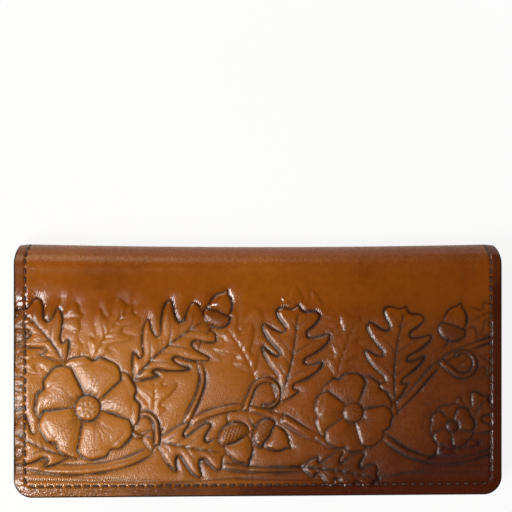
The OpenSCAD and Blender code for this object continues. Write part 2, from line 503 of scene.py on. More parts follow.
def sheet_x(columns: Array, rows: Array) -> Array:
    """X of each point of a wrapped sheet, rows by columns: the rim keeps its distance from the cut edge.

    Args:
        columns: insets from the nearer side, negative on the left.
        rows: places along the leather.

    Returns:
        The values of x.
    """
    border = 12.0
    width = FORM.half_width(rows)[:, None]
    inset = np.abs(columns)[None, :]
    side = np.sign(columns)[None, :]
    inner = (FORM.half - inset) / (FORM.half - border) * (width - border)
    return side * np.where(inset <= border, width - inset, inner)


def both_sides(insets: Array) -> Array:
    """Columns for the left and the right side from one side's insets, with the middle once."""
    insets = np.unique(np.clip(np.maximum(insets, 1e-6), 0, FORM.half))
    middle = insets[-1] > FORM.half - 1e-6
    right = insets[::-1][1:] if middle else insets[::-1]
    return np.r_[-insets, right]


@dataclass(frozen=True)
class Stitching:
    """The row of stitches round the rim, by its places along the flat leather.

    The thread pulls a hollow into the leather, deeper under a stitch, with a hole at both ends of the stitch
    and a low lip beside it.
    """

    pitch: float = 3.175
    visible: float = 1.8
    margin: float = FORM.stitch_margin
    reach: float = 1.6
    hollow_width: float = 0.55
    hollow_depth: float = 0.13
    pulled_depth: float = 0.09
    hole_length: float = 0.3
    hole_width: float = 0.35
    hole_depth: float = 0.06
    lip_inset: float = 0.95
    lip_width: float = 0.35
    lip_height: float = 0.03
    line_points: int = 3000
    batch: int = 4000

    def outline(self) -> tuple[Array, Array]:
        """Line of the seam from the middle of the fold down the left of the front to the open edge's middle.

        Returns:
            The points (x, s), and the distance along the line of each.
        """
        m, r = self.margin, FORM.corner - self.margin
        fold = np.linspace(FORM.total / 2, FORM.corner, 400)
        side = np.stack([-(FORM.half_width(fold) - m), fold], -1)
        turn = np.radians(np.linspace(180, 270, 12))
        centre = np.array([-(FORM.half - FORM.corner), FORM.corner])
        corner = centre + r * on_circle(turn)
        end = np.array([[0.0, m]])
        line = np.vstack([side, corner[1:], end])
        return line, reach_along(line)

    @property
    def quarter(self) -> float:
        """Length of a quarter of the seam."""
        return float(self.outline()[1][-1])

    @property
    def step(self) -> float:
        """Distance between the stitches, evened out over half of the seam."""
        return 2 * self.quarter / round(2 * self.quarter / self.pitch)

    def at(self, t: Array) -> Array:
        """Places (x, s) at distances t along the closed seam, which runs on over the rear.

        Args:
            t: distances along the seam.

        Returns:
            One row (x, s) for each distance.
        """
        line, reach = self.outline()
        quarter = reach[-1]
        t = np.mod(np.asarray(t, float), 4 * quarter)
        front = np.where(t <= 2 * quarter, t, 4 * quarter - t)
        near = np.where(front <= quarter, front, 2 * quarter - front)
        x = np.interp(near, reach, line[:, 0]) * np.where(front <= quarter, 1.0, -1.0)
        s = np.interp(near, reach, line[:, 1])
        return np.stack([x, np.where(t <= 2 * quarter, s, FORM.total - s)], -1)

    def centres(self) -> Array:
        """Distance along the seam of each stitch's middle."""
        count = int(round(4 * self.quarter / self.step))
        return (np.arange(count) + 0.5) * self.step

    def runs(self, zone: Zone) -> list[Array]:
        """Runs of neighbouring stitches within one length of the leather, as distances along the seam.

        Args:
            zone: the length of the leather.

        Returns:
            The distances of each run's stitches.
        """
        centres = self.centres()
        s = self.at(centres)[:, 1]
        picked = np.flatnonzero((s >= zone.start) & (s < zone.end))
        groups = np.split(picked, np.flatnonzero(np.diff(picked) > 1) + 1)
        if len(groups) > 1 and groups[0][0] == 0 and groups[-1][-1] == len(centres) - 1:
            groups[0] = np.r_[groups.pop() - len(centres), groups[0]]
        return [(g + 0.5) * self.step for g in groups]

    def pull(self, x: Array, s: Array) -> tuple[Array, Array]:
        """How far the seam pulls the leather down.

        Args:
            x: distances along the fold.
            s: places along the leather.

        Returns:
            The heights, and the painted shade in the seam's hollow and holes, from 0 to 1.
        """
        height, dark = np.zeros(x.shape), np.zeros(x.shape)
        near = np.abs(FORM.rim_distance(x, s) - self.margin) < self.reach
        if not near.any():
            return height, dark
        px, ps = x[near], s[near]
        t = np.linspace(0, 4 * self.quarter, self.line_points, endpoint=False)
        line = self.at(t)
        best, along = np.full(len(px), 1e9), np.zeros(len(px))
        for first in range(0, len(px), self.batch):
            part = slice(first, first + self.batch)
            gap = (px[part, None] - line[None, :, 0]) ** 2 + (ps[part, None] - line[None, :, 1]) ** 2
            k = gap.argmin(1)
            best[part], along[part] = np.sqrt(gap[np.arange(len(k)), k]), t[k]
        phase = np.abs(np.mod(along / self.step, 1.0) - 0.5) * self.step
        on = 1.0 - ease((phase - self.visible / 2 + 0.05) / 0.45)
        across = bell(best, self.hollow_width)
        hole = bell(phase - self.visible / 2, self.hole_length) * bell(best, self.hole_width)
        lip = self.lip_height * bell(best - self.lip_inset, self.lip_width) * on
        hollow = -across * (self.hollow_depth + self.pulled_depth * on)
        height[near] = hollow - self.hole_depth * hole + lip
        # Painted shade: darker in the stitch holes and in the hollow under the thread.
        dark[near] = np.clip(0.95 * hole + 0.75 * across * on, 0, 1)
        return height, dark


SEAM = Stitching()


@dataclass
class Desk:
    """Adds and joins the nodes of one tree."""

    tree: Tree

    def feed(self, node: Node, values: dict[str | int, object]) -> None:
        """Gives inputs of a node their values.

        Args:
            node: the node.
            values: a number, a colour or an output socket for each input.
        """
        for key, value in values.items():
            if isinstance(value, Socket):
                self.tree.links.new(value, node.inputs[key])
            else:
                node.inputs[key].default_value = value

    def add(
        self, kind: str, values: dict[str | int, object] | None = None, **settings: object
    ) -> Node:
        """Adds a node.

        Args:
            kind: Blender's name of the node's type.
            values: a number, a colour or an output socket for each input.
            settings: the node's own properties.

        Returns:
            The node.
        """
        node = self.tree.nodes.new(kind)
        for key, value in settings.items():
            setattr(node, key, value)
        self.feed(node, values or {})
        return node

    def math(self, operation: str, *values: object) -> Socket:
        """Result of a Math node on numbers or sockets."""
        return self.add("ShaderNodeMath", dict(enumerate(values)), operation=operation).outputs[0]

    def times(self, a: object, b: object) -> Socket:
        """Product of two numbers or sockets."""
        return self.math("MULTIPLY", a, b)

    def plus(self, a: object, b: object) -> Socket:
        """Sum of two numbers or sockets."""
        return self.math("ADD", a, b)

    def less(self, a: object, b: object) -> Socket:
        """Difference of two numbers or sockets."""
        return self.math("SUBTRACT", a, b)

    def span(self, value: Socket, low: float, high: float, to: Point = (0.0, 1.0)) -> Socket:
        """Smooth change of a value from one span to another."""
        values = {"Value": value, "From Min": low, "From Max": high, "To Min": to[0], "To Max": to[1]}
        return self.add("ShaderNodeMapRange", values, interpolation_type="SMOOTHSTEP").outputs["Result"]

    def blend(self, share: object, a: object, b: object) -> Socket:
        """Mix of two colours, sockets or plain ones: the second one's share is given."""
        a, b = ((*colour, 1.0) if isinstance(colour, tuple) else colour for colour in (a, b))
        return self.add("ShaderNodeMix", {0: share, 6: a, 7: b}, data_type="RGBA").outputs[2]

    def attribute(self, name: str) -> Socket:
        """Value of one of the piece's own masks."""
        return self.add("ShaderNodeAttribute", attribute_name=name).outputs["Fac"]

    def place(self) -> Socket:
        """Object coordinates."""
        return self.add("ShaderNodeTexCoord").outputs["Object"]

    def turned_place(self, angle: float, scale: Sequence[float] = (1.0, 1.0, 1.0)) -> Socket:
        """Object coordinates turned about Z by an angle in radians and stretched."""
        values = {"Vector": self.place(), "Rotation": (0.0, 0.0, angle), "Scale": scale}
        return self.add("ShaderNodeMapping", values).outputs[0]

    def noise(self, vector: Socket, scale: object, detail: float = 3.0, rough: float = 0.5) -> Socket:
        """Value of a noise texture."""
        values = {"Vector": vector, "Scale": scale, "Detail": detail, "Roughness": rough}
        return self.add("ShaderNodeTexNoise", values).outputs[0]

    def waves(self, vector: Socket, scale: float, bend: float, detail: float = 2.0) -> Socket:
        """Value of a wave texture."""
        values = {"Vector": vector, "Scale": scale, "Distortion": bend, "Detail": detail, "Detail Scale": 1.0}
        return self.add("ShaderNodeTexWave", values).outputs["Fac"]

    def bump(self, height: Socket, strength: float, reach: float) -> Socket:
        """Direction of a face that a height disturbs."""
        values = {"Strength": strength, "Distance": reach, "Height": height}
        return self.add("ShaderNodeBump", values).outputs[0]


def thread_tree() -> Tree:
    """Geometry Nodes tree that lays one sewn stitch at each step of a line.

    Returns:
        The tree, with the line, the stitch's size and the thread as inputs.
    """
    tree = bpy.data.node_groups.new("rim_thread", "GeometryNodeTree")
    sockets = {
        "Line": "Geometry", "Step": "Float", "Length": "Float", "Width": "Float", "Height": "Float",
        "Unevenness": "Float", "Seed": "Int", "Thread": "Material",
    }
    for name, kind in sockets.items():
        tree.interface.new_socket(name=name, in_out="INPUT", socket_type=f"NodeSocket{kind}")
    tree.interface.new_socket(name="Stitches", in_out="OUTPUT", socket_type="NodeSocketGeometry")
    desk = Desk(tree)
    given = desk.add("NodeGroupInput").outputs
    curve = desk.add("GeometryNodeMeshToCurve", {"Mesh": given["Line"]}).outputs["Curve"]
    steps = desk.add("GeometryNodeResampleCurve", {"Curve": curve, "Length": given["Step"]}, mode="LENGTH")
    ball = desk.add("GeometryNodeMeshUVSphere", {"Segments": 10, "Rings": 6, "Radius": 0.5})
    tangent = desk.add("GeometryNodeInputTangent").outputs["Tangent"]
    named = desk.add("GeometryNodeInputNamedAttribute", {"Name": "outward"}, data_type="FLOAT_VECTOR")
    along = desk.add("FunctionNodeAlignRotationToVector", {"Vector": tangent}, axis="X")
    facing = {"Rotation": along.outputs["Rotation"], "Vector": named.outputs["Attribute"]}
    upright = desk.add("FunctionNodeAlignRotationToVector", facing, axis="Z", pivot_axis="X")
    sides = {"X": given["Length"], "Y": given["Width"], "Z": given["Height"]}
    size = desk.add("ShaderNodeCombineXYZ", sides).outputs["Vector"]
    least, most = desk.less(1.0, given["Unevenness"]), desk.plus(1.0, given["Unevenness"])
    vary = desk.add("FunctionNodeRandomValue", {2: least, 3: most, "Seed": given["Seed"]}, data_type="FLOAT")
    scaled = desk.add("ShaderNodeVectorMath", {0: size, "Scale": vary.outputs[1]}, operation="SCALE")
    laid = {
        "Points": steps.outputs["Curve"], "Instance": ball.outputs["Mesh"],
        "Rotation": upright.outputs["Rotation"], "Scale": scaled.outputs["Vector"],
    }
    stitches = desk.add("GeometryNodeInstanceOnPoints", laid).outputs["Instances"]
    real = desk.add("GeometryNodeRealizeInstances", {"Geometry": stitches}).outputs["Geometry"]
    paint = desk.add("GeometryNodeSetMaterial", {"Geometry": real, "Material": given["Thread"]})
    desk.add("NodeGroupOutput", {"Stitches": paint.outputs["Geometry"]})
    return tree


@dataclass
class ThreadWorker:
    """Sews rows of stitches with one Geometry Nodes tree.

    The step is taken a little short, so that rounding doesn't lose a line's last stitch.
    """

    tree: Tree
    thread: Material
    step: float = SEAM.step * 0.999
    length: float = 2.1
    width: float = 0.64
    height: float = 0.62
    unevenness: float = 0.07
    seed: int = 20

    def sew(self, name: str, lines: Sequence[tuple[Array, Array]]) -> Piece:
        """Makes one piece of stitches.

        Args:
            name: the piece's name.
            lines: the points of each seam line in millimetres, and the way each point faces.

        Returns:
            A plain mesh object with all the stitches.
        """
        points, faced, edges, first = [], [], [], 0
        for line, way in lines:
            points.append(line)
            faced.append(np.broadcast_to(way, line.shape))
            edges += [(first + k, first + k + 1) for k in range(len(line) - 1)]
            first += len(line)
        guide = bpy.data.meshes.new(name + "_guide")
        guide.from_pydata((np.vstack(points) * MM).tolist(), edges, [])
        outward = guide.attributes.new("outward", "FLOAT_VECTOR", "POINT")
        outward.data.foreach_set("vector", np.vstack(faced).astype(np.float32).ravel())
        holder = in_scene(name + "_guide", guide)
        modifier = holder.modifiers.new("stitches", "NODES")
        modifier.node_group = self.tree
        self.seed += 1
        values = {
            "Step": self.step * MM, "Length": self.length * MM, "Width": self.width * MM,
            "Height": self.height * MM, "Unevenness": self.unevenness, "Seed": self.seed,
            "Thread": self.thread,
        }
        for item in self.tree.interface.items_tree:
            if item.in_out == "INPUT" and item.name in values:
                modifier[item.identifier] = values[item.name]
        bpy.context.view_layer.update()
        evaluated = holder.evaluated_get(bpy.context.evaluated_depsgraph_get())
        mesh = bpy.data.meshes.new_from_object(evaluated)
        bpy.data.objects.remove(holder)
        mesh.name = name
        mesh.polygons.foreach_set("use_smooth", np.ones(len(mesh.polygons), bool))
        piece = in_scene(name, mesh)
        log.info("sewed %s: %d faces", name, len(mesh.polygons))
        return piece


def straight_seam(
    start: Sequence[float], end: Sequence[float], way: Sequence[float]
) -> tuple[Array, Array]:
    """Seam line between two points whose length is a whole number of stitches, centred between them.

    Args:
        start: where the seam starts.
        end: where it ends.
        way: the way that it faces.

    Returns:
        The points of the line, and the way they face.
    """
    a, b = np.array(start, float), np.array(end, float)
    reach = float(np.linalg.norm(b - a))
    used = max(int(reach / SEAM.step), 1) * SEAM.step
    middle, d = (a + b) / 2, (b - a) / reach
    line = middle + np.linspace(-used / 2, used / 2, max(int(used * 2), 2))[:, None] * d
    return line, np.array(way, float)


@dataclass
class ToolingField:
    """Heights, and dark antique with painted shade, of the tooled front, pressed by an uneven hand on a
    raster of flat leather.

    The raster's first axis is the place along the leather from the open edge, and its second is x.
    """

    pitch: float = 0.2
    top: float = 79.0
    fade: float = 8.0
    bevel_power: float = 1.4
    fullness: float = 1.25
    edge_dip: float = 0.16
    groove_depth: float = 0.20
    groove_width: float = 0.42
    line_width: float = 0.52
    shade: float = 0.55
    shade_width: float = 0.9
    height: Array = field(init=False)
    antique_and_shade: Array = field(init=False)
    hatch: Array = field(init=False)
    hand: Array = field(init=False)

    def __post_init__(self) -> None:
        """Lays out the empty raster."""
        self.xs = np.arange(-FORM.half - 1, FORM.half + 1, self.pitch)
        self.ss = np.arange(-1.0, self.top, self.pitch)
        shape = (len(self.ss), len(self.xs))
        self.height, self.antique_and_shade, self.hatch = np.zeros(shape), np.zeros(shape), np.zeros(shape)
        self.hand = 1.0 + 0.6 * unlike(shape, 26.0, 21)

    def window(self, points: Array, margin: float) -> tuple[tuple[slice, slice], Array]:
        """Part of the raster round some points, and the places (x, y) of its cells.

        Args:
            points: the points.
            margin: width of the part beyond them.

        Returns:
            The slices of the part, and the places of its cells, one row each.
        """
        low, high = points.min(0) - margin, points.max(0) + margin
        c = np.clip(np.searchsorted(self.xs, [low[0], high[0]]), 0, len(self.xs))
        r = np.clip(np.searchsorted(self.ss + FORM.open_y, [low[1], high[1]]), 0, len(self.ss))
        part = (slice(r[0], r[1]), slice(c[0], c[1]))
        x, y = np.meshgrid(self.xs[part[1]], self.ss[part[0]] + FORM.open_y)
        return part, np.stack([x.ravel(), y.ravel()], -1)

    def raise_form(
        self, outline: Array, crown: float = 0.34, shoulder: float = 1.6, bevel: float = 3.0,
        sink: float = 0.56, ink: float = 1.0, hatch: float = 0.3,
    ) -> None:
        """Raises the inside of an outline and bevels the ground down to it.

        Args:
            outline: closed outline, points in order.
            crown: height of the raised form.
            shoulder: width over which it rounds up from its edge.
            bevel: width of the bevelled ground outside it.
            sink: depth of the ground at the outline.
            ink: darkness of the cut line.
            hatch: strength of the fine hatching on the bevel.
        """
        part, places = self.window(outline, bevel * 2.2)
        shape = self.height[part].shape
        if 0 in shape:
            return
        d = outline_distance(outline, places).reshape(shape)
        old = self.height[part]
        ramp = np.exp(-((np.clip(d, 0, None) / bevel) ** self.bevel_power))
        ground = old * (1 - ramp) + np.minimum(old, -sink) * ramp
        body = self.fullness * crown * (1 - np.exp(-np.abs(d) / shoulder)) - self.edge_dip * bell(d, 0.5)
        inside = ease((-d + 0.15) / 0.3)
        self.height[part] = ground * (1 - inside) + body * inside
        hand = self.hand[part]
        groove, line = (bell(d - 0.2 * hand, w * hand) * ink for w in (self.groove_width, self.line_width))
        # Painted shade: a soft dark band on the bevelled ground just outside the outline, kept with the
        # antique.
        soft = self.shade * ink * np.exp(-np.clip(d, 0, None) / self.shade_width) * (1 - inside)
        kept = self.antique_and_shade[part] * (1 - inside) * (1 - 0.4 * ramp)
        self.antique_and_shade[part] = np.maximum(kept, np.maximum(line, soft))
        self.height[part] -= self.groove_depth * groove
        self.hatch[part] = np.maximum(self.hatch[part] * (1 - inside), hatch * ramp * (1 - inside))

    def cut(
        self, line: Array, width: float = 0.36, depth: float = 0.2, ink: float = 0.9, soft: float = 1.2,
        taper: float = 0.5,
    ) -> None:
        """Cuts a line into the surface, with one softly bevelled side.

        Args:
            line: points of the line in order.
            width: half width of the cut.
            depth: depth of the cut.
            ink: darkness of the cut.
            soft: width of the soft hollow along it.
            taper: how much the cut thins out towards its end.
        """
        part, places = self.window(line, soft * 2.5 + 0.5)
        shape = self.height[part].shape
        if 0 in shape:
            return
        d, along = (v.reshape(shape) for v in line_distance(line, places))
        fade = (1 - taper * along) * ease((1.02 - along) / 0.08)
        w = width * (1 - 0.5 * taper * along)
        mark = bell(d, w) * fade
        self.height[part] -= depth * mark + 0.35 * depth * bell(d, soft) * fade
        self.antique_and_shade[part] = np.maximum(self.antique_and_shade[part], ink * np.clip(1.25 * mark, 0, 1))

    def dimple(self, places: Array, radius: float, depth: float, ink: float) -> None:
        """Presses small round seeds or dots.

        Args:
            places: centres of the dots, one row each.
            radius: radius of a dot.
            depth: its depth.
            ink: its darkness.
        """
        for place in places:
            part, cells = self.window(place[None, :], radius * 2.5)
            shape = self.height[part].shape
            if 0 in shape:
                continue
            d = np.hypot(*(cells - place).T).reshape(shape)
            self.height[part] -= depth * bell(d, radius)
            self.antique_and_shade[part] = np.maximum(self.antique_and_shade[part], ink * bell(d, radius * 0.9))

    def sample(self, values: Array, x: Array, s: Array) -> Array:
        """Values of one raster layer at places on the leather, 0 above the tooled part.

        Args:
            values: the raster layer.
            x: distances along the fold.
            s: places along the leather.

        Returns:
            One value for each place.
        """
        c = np.clip((x - self.xs[0]) / self.pitch, 0, len(self.xs) - 1.001)
        r = np.clip((s - self.ss[0]) / self.pitch, 0, len(self.ss) - 1.001)
        c0, r0 = c.astype(int), r.astype(int)
        fc, fr = c - c0, r - r0
        got = (values[r0, c0] * (1 - fc) + values[r0, c0 + 1] * fc) * (1 - fr)
        got = got + (values[r0 + 1, c0] * (1 - fc) + values[r0 + 1, c0 + 1] * fc) * fr
        return got * ease((self.top - 1.0 - s) / self.fade)


def turned(points: Array, centre: Point, degrees: float, size: float = 1.0) -> Array:
    """Points turned about the origin, sized, and moved to a centre."""
    a = math.radians(degrees)
    turn = np.array([[math.cos(a), math.sin(a)], [-math.sin(a), math.cos(a)]])
    return (np.asarray(points, float) * size) @ turn + np.array(centre)


# Veins of one lobe: lean along the midrib, share of the way to the tip, darkness, share of the full depth.
VEINS = ((0.0, 0.80, 0.7, 1.0), (-0.10, 0.50, 0.35, 0.6), (0.10, 0.52, 0.35, 0.6))


@dataclass(frozen=True)
class OakLeaf:
    """A lobed leaf with a curved midrib, pressed into the leather."""

    foot: Point
    angle: float
    reach: float = 34.0
    width: float = 8.5
    curl: float = 0.25
    lobes: int = 4
    ink: float = 1.0
    crown: float = 0.34
    hatch: float = 0.0

    def laid(self, points: Array) -> Array:
        """Points of the leaf in their place on the leather."""
        return turned(points, self.foot, self.angle)

    def spine(self, t: Array) -> Array:
        """Points of the midrib at parts t of its length, before it is turned."""
        return np.stack([self.reach * t, self.curl * self.reach * t * t * (1.4 - 0.4 * t)], -1)

    def edge(self, side: float, t: Array) -> Array:
        """Points of one side's lobed edge.

        Args:
            side: 1 for the left edge, -1 for the right.
            t: parts of the length.

        Returns:
            The points, one row each.
        """
        middle = self.spine(t)
        slope = np.gradient(middle, axis=0)
        forward = slope / np.linalg.norm(slope, axis=1)[:, None]
        normal = np.stack([-forward[:, 1], forward[:, 0]], -1)
        envelope = np.sin(np.pi * np.clip(t, 0, 1) ** 1.18) ** 0.72
        wave = ease(0.5 - 0.5 * np.cos(2 * np.pi * (self.lobes * t - 0.04 * side)))
        out = self.width * envelope * (0.36 + 0.64 * wave)
        return middle + normal * (side * out)[:, None] + forward * (0.42 * out * wave)[:, None]

    def press(self, leather: ToolingField) -> None:
        """Presses the leaf.

        Args:
            leather: the field that the pattern is pressed into.
        """
        t = np.linspace(0.02, 1.0, 120)
        outline = np.vstack([self.edge(1.0, t), self.edge(-1.0, t)[::-1]])
        form = self.laid(outline)
        leather.raise_form(form, self.crown, 1.8, sink=1.55 * self.crown, ink=self.ink, hatch=self.hatch)
        rib = self.spine(np.linspace(-0.10, 0.95, 30))
        leather.cut(self.laid(rib), width=0.58, depth=0.26, ink=self.ink, soft=1.9)
        for k in range(self.lobes):
            self.cut_veins(leather, (k + 0.5) / self.lobes)

    def cut_veins(self, leather: ToolingField, tip: float) -> None:
        """Cuts one long and two short veins into each of the two lobes at a part of the length.

        Args:
            leather: the field that the pattern is pressed into.
            tip: place of the lobes' tips, as a part of the length.
        """
        low = self.spine(np.array([max(tip - 0.10, 0.02)]))[0]
        for side in (1.0, -1.0):
            high = self.edge(side, np.array([tip - 0.02, tip, tip + 0.02]))[1]
            for lean, reach, ink, deep in VEINS:
                root = self.spine(np.array([max(tip - 0.10 + lean, 0.02)]))[0]
                end = root + (high - low) * reach + (root - low) * 0.25
                bow = (root + end) / 2 + 0.06 * side * np.array([high[1] - low[1], low[0] - high[0]])
                vein = self.laid(bend_line([root, bow, end], 12))
                leather.cut(vein, width=0.28, depth=0.17 * deep, ink=ink * self.ink, soft=1.2, taper=0.85)


@dataclass(frozen=True)
class Acorn:
    """An acorn in its checkered cup."""

    centre: Point
    angle: float
    size: float = 1.0

    def laid(self, points: Sequence[Sequence[float]]) -> Array:
        """Points of the acorn in their place on the leather."""
        return turned(points, self.centre, self.angle, self.size)

    def press(self, leather: ToolingField) -> None:
        """Presses the nut, then its cup over it.

        Args:
            leather: the field that the pattern is pressed into.
        """
        a = np.linspace(0, 2 * np.pi, 60, endpoint=False)
        nut = np.stack([6.4 * np.cos(a) + 3.5, 4.5 * np.sin(a)], -1)
        nut[:, 0] += 1.6 * np.exp(-((a - np.where(a > np.pi, 2 * np.pi, 0)) ** 2) / 0.02)
        leather.raise_form(self.laid(nut), crown=0.36, shoulder=1.8, bevel=2.6)
        shine = bend_line([(7.6, 1.9), (5.2, 2.7), (2.6, 2.7)], 12)
        leather.cut(self.laid(shine), width=0.24, depth=0.10, ink=0.35, soft=0.8)
        half = np.linspace(-np.pi / 2, np.pi / 2, 30)
        bowl = np.stack([-4.2 * np.cos(half) - 0.2, 5.6 * np.sin(half)], -1)
        cup = self.laid(np.vstack([bowl, [(1.3, 5.3), (1.9, 0.0), (1.3, -5.3)]]))
        leather.raise_form(cup, crown=0.42, shoulder=1.1, bevel=1.6)
        self.checker(leather, cup)
        stalk = bend_line([(-4.2, 0.0), (-6.5, 0.4), (-8.6, 1.6)], 10)
        leather.cut(self.laid(stalk), width=0.6, depth=0.18, ink=0.8, soft=1.4)

    def checker(self, leather: ToolingField, cup: Array) -> None:
        """Presses the crossed grooves into the cup.

        Args:
            leather: the field that the pattern is pressed into.
            cup: outline of the cup.
        """
        part, cells = leather.window(cup, 1.0)
        local = turned(cells - np.array(self.centre), (0.0, 0.0), -self.angle) / self.size
        inside = ease(-outline_distance(cup, cells) / 0.5)
        across = (local[:, 0] + local[:, 1], local[:, 0] - local[:, 1])
        checks = np.maximum(*(np.abs(np.cos(np.pi * v / 1.55)) for v in across))
        groove = (ease((checks - 0.80) / 0.2) * inside).reshape(leather.height[part].shape)
        leather.height[part] -= 0.20 * groove
        leather.antique_and_shade[part] = np.maximum(leather.antique_and_shade[part], 0.75 * groove)


@dataclass(frozen=True)
class WildRose:
    """An open flower of five notched petals round a seeded middle."""

    centre: Point
    angle: float
    radius: float = 15.0
    ink: float = 1.0
    petals: int = 5

    def laid(self, points: Sequence[Sequence[float]], turn: float) -> Array:
        """Points of a petal in their place on the leather, with the petal turned by some degrees."""
        return turned(points, self.centre, self.angle + turn)

    def press(self, leather: ToolingField) -> None:
        """Presses the petals one over the other, then the middle.

        Args:
            leather: the field that the pattern is pressed into.
        """
        for k in range(self.petals):
            self.press_petal(leather, 360.0 / self.petals * k)
        ring = on_circle(np.linspace(0, 2 * np.pi, 40, endpoint=False))
        middle = self.radius * 0.235 * ring
        leather.raise_form(middle + np.array(self.centre), crown=0.30, shoulder=0.9, bevel=1.2, sink=0.30)
        for ring, count in ((0.08, 5), (0.16, 10), (0.30, 19)):
            turns = np.linspace(0, 2 * np.pi, count, endpoint=False) + ring
            leather.dimple(self.radius * ring * on_circle(turns) + np.array(self.centre), 0.42, 0.16, 0.85)

    def press_petal(self, leather: ToolingField, turn: float) -> None:
        """Presses one petal: its notched form, the fan of fine cuts and the lip at its edge.

        Args:
            leather: the field that the pattern is pressed into.
            turn: degrees between this petal and the first.
        """
        spread = np.pi / self.petals * 1.22
        a = np.linspace(-1, 1, 46)
        notch = 0.13 * bell(a, 0.16)
        reach = self.radius * (1.0 - 0.16 * np.abs(a) ** 3 - notch + 0.02 * np.cos(9 * a))
        form = np.stack([reach * np.cos(a * spread), reach * np.sin(a * spread) * 0.98], -1)
        foot = [(self.radius * 0.15, self.radius * 0.18), (self.radius * 0.15, -self.radius * 0.18)]
        form = self.laid(np.vstack([form, foot]), turn)
        leather.raise_form(form, crown=0.46, shoulder=2.6, bevel=2.6, sink=0.34, ink=self.ink, hatch=0.5)
        for fan, far in ((-0.34, 0.74), (-0.12, 0.80), (0.12, 0.80), (0.34, 0.74)):
            places = ((self.radius * r, fan * spread * r * 1.7) for r in (0.30, 0.5 * (0.3 + far), far))
            ray = self.laid(bend_line([(r * math.cos(b), r * math.sin(b)) for r, b in places], 12), turn)
            leather.cut(ray, width=0.27, depth=0.12, ink=0.55 * self.ink, soft=0.9, taper=0.9)
        lip = self.radius * 0.83 * on_circle(np.linspace(-0.62, 0.62, 16) * spread)
        leather.cut(self.laid(lip, turn), width=0.5, depth=0.07, ink=0.10, soft=1.6, taper=0.0)


@dataclass(frozen=True)
class Stem:
    """A round stem that thins towards its end."""

    knots: tuple[Point, ...]
    thick: float = 2.6
    thin: float = 1.0
    ink: float = 1.0

    def press(self, leather: ToolingField) -> None:
        """Presses the stem.

        Args:
            leather: the field that the pattern is pressed into.
        """
        line = bend_line(self.knots, 60)
        slope = np.gradient(line, axis=0)
        normal = np.stack([-slope[:, 1], slope[:, 0]], -1) / np.linalg.norm(slope, axis=1)[:, None]
        r = np.linspace(self.thick, self.thin, len(line))[:, None] / 2
        turn = np.linspace(1.2, -1.2, 7)[:, None]
        ahead = line[-1] - line[-2]
        tip = line[-1] + r[-1] * (np.cos(turn) * ahead / np.linalg.norm(ahead) + np.sin(turn) * normal[-1])
        outline = np.vstack([line + normal * r, tip, (line - normal * r)[::-1]])
        leather.raise_form(outline, crown=0.34, shoulder=0.8, bevel=2.6, sink=0.38, ink=self.ink, hatch=0.4)
        shine = (line + normal * 0.12 * r)[6:-6]
        leather.cut(shine, width=0.22, depth=0.08, ink=0.4 * self.ink, soft=0.6)


def tendril(foot: Point, angle: float, size: float, hand: float = 1.0) -> Stem:
    """A tendril that leaves its foot at an angle and curls up.

    Args:
        foot: where it starts.
        angle: direction in degrees in which it leaves.
        size: width of its curl.
        hand: 1 to curl to the left, -1 to the right.

    Returns:
        The stem.
    """
    a = np.linspace(0, 1.55 * np.pi, 16)
    r = size * (1.0 - 0.42 * a / a[-1])
    curl = np.stack([r * np.sin(a), size - r * np.cos(a) * 0.9], -1) + np.array([size * 0.9, 0.0])
    curl[:, 1] -= curl[0, 1] - 0.2 * size
    knots = np.vstack([[(0.0, 0.0), (0.45 * size, 0.06 * size)], curl])
    knots[:, 1] *= hand
    return Stem(tuple(map(tuple, turned(knots, foot, angle))), 1.9, 0.8)


# Seeded patches of the ground: centre, size and number of tries.
SEED_PATCHES = (
    ((-22.0, -30.0), (11.0, 5.0), 120), ((12.0, -20.0), (7.0, 6.0), 90), ((64.0, -17.0), (8.0, 8.0), 120),
    ((-80.0, -22.0), (4.0, 7.0), 50),
)
# Long strokes along the open edge: x and y of the start, reach and lift.
EDGE_STROKES = (
    (-86, -35.5, 64, -3.4), (-82, -38.0, 70, -1.8), (-34, -39.6, 66, 2.2), (-8, -38.0, 56, -1.6),
    (28, -39.0, 58, 2.8), (50, -36.4, 36, 2.4),
)


def press_ground(leather: ToolingField) -> None:
    """Presses the seeded ground between the stems, and the long strokes along the open edge.

    Args:
        leather: the field that the pattern is pressed into.
    """
    rng = np.random.default_rng(11)
    for centre, size, count in SEED_PATCHES:
        spots = rng.uniform(-1, 1, (count, 2))
        spots = spots[np.hypot(*spots.T) < 1.0] * size + np.array(centre)
        leather.dimple(spots, 0.42, 0.17, 0.7)
    for x, y, reach, lift in EDGE_STROKES:
        stroke = bend_line([(x, y), (x + reach * 0.5, y + lift * 0.8 + 0.5), (x + reach, y + lift)], 40)
        leather.cut(stroke, width=0.36, depth=0.26, ink=0.8, soft=2.0, taper=0.6)


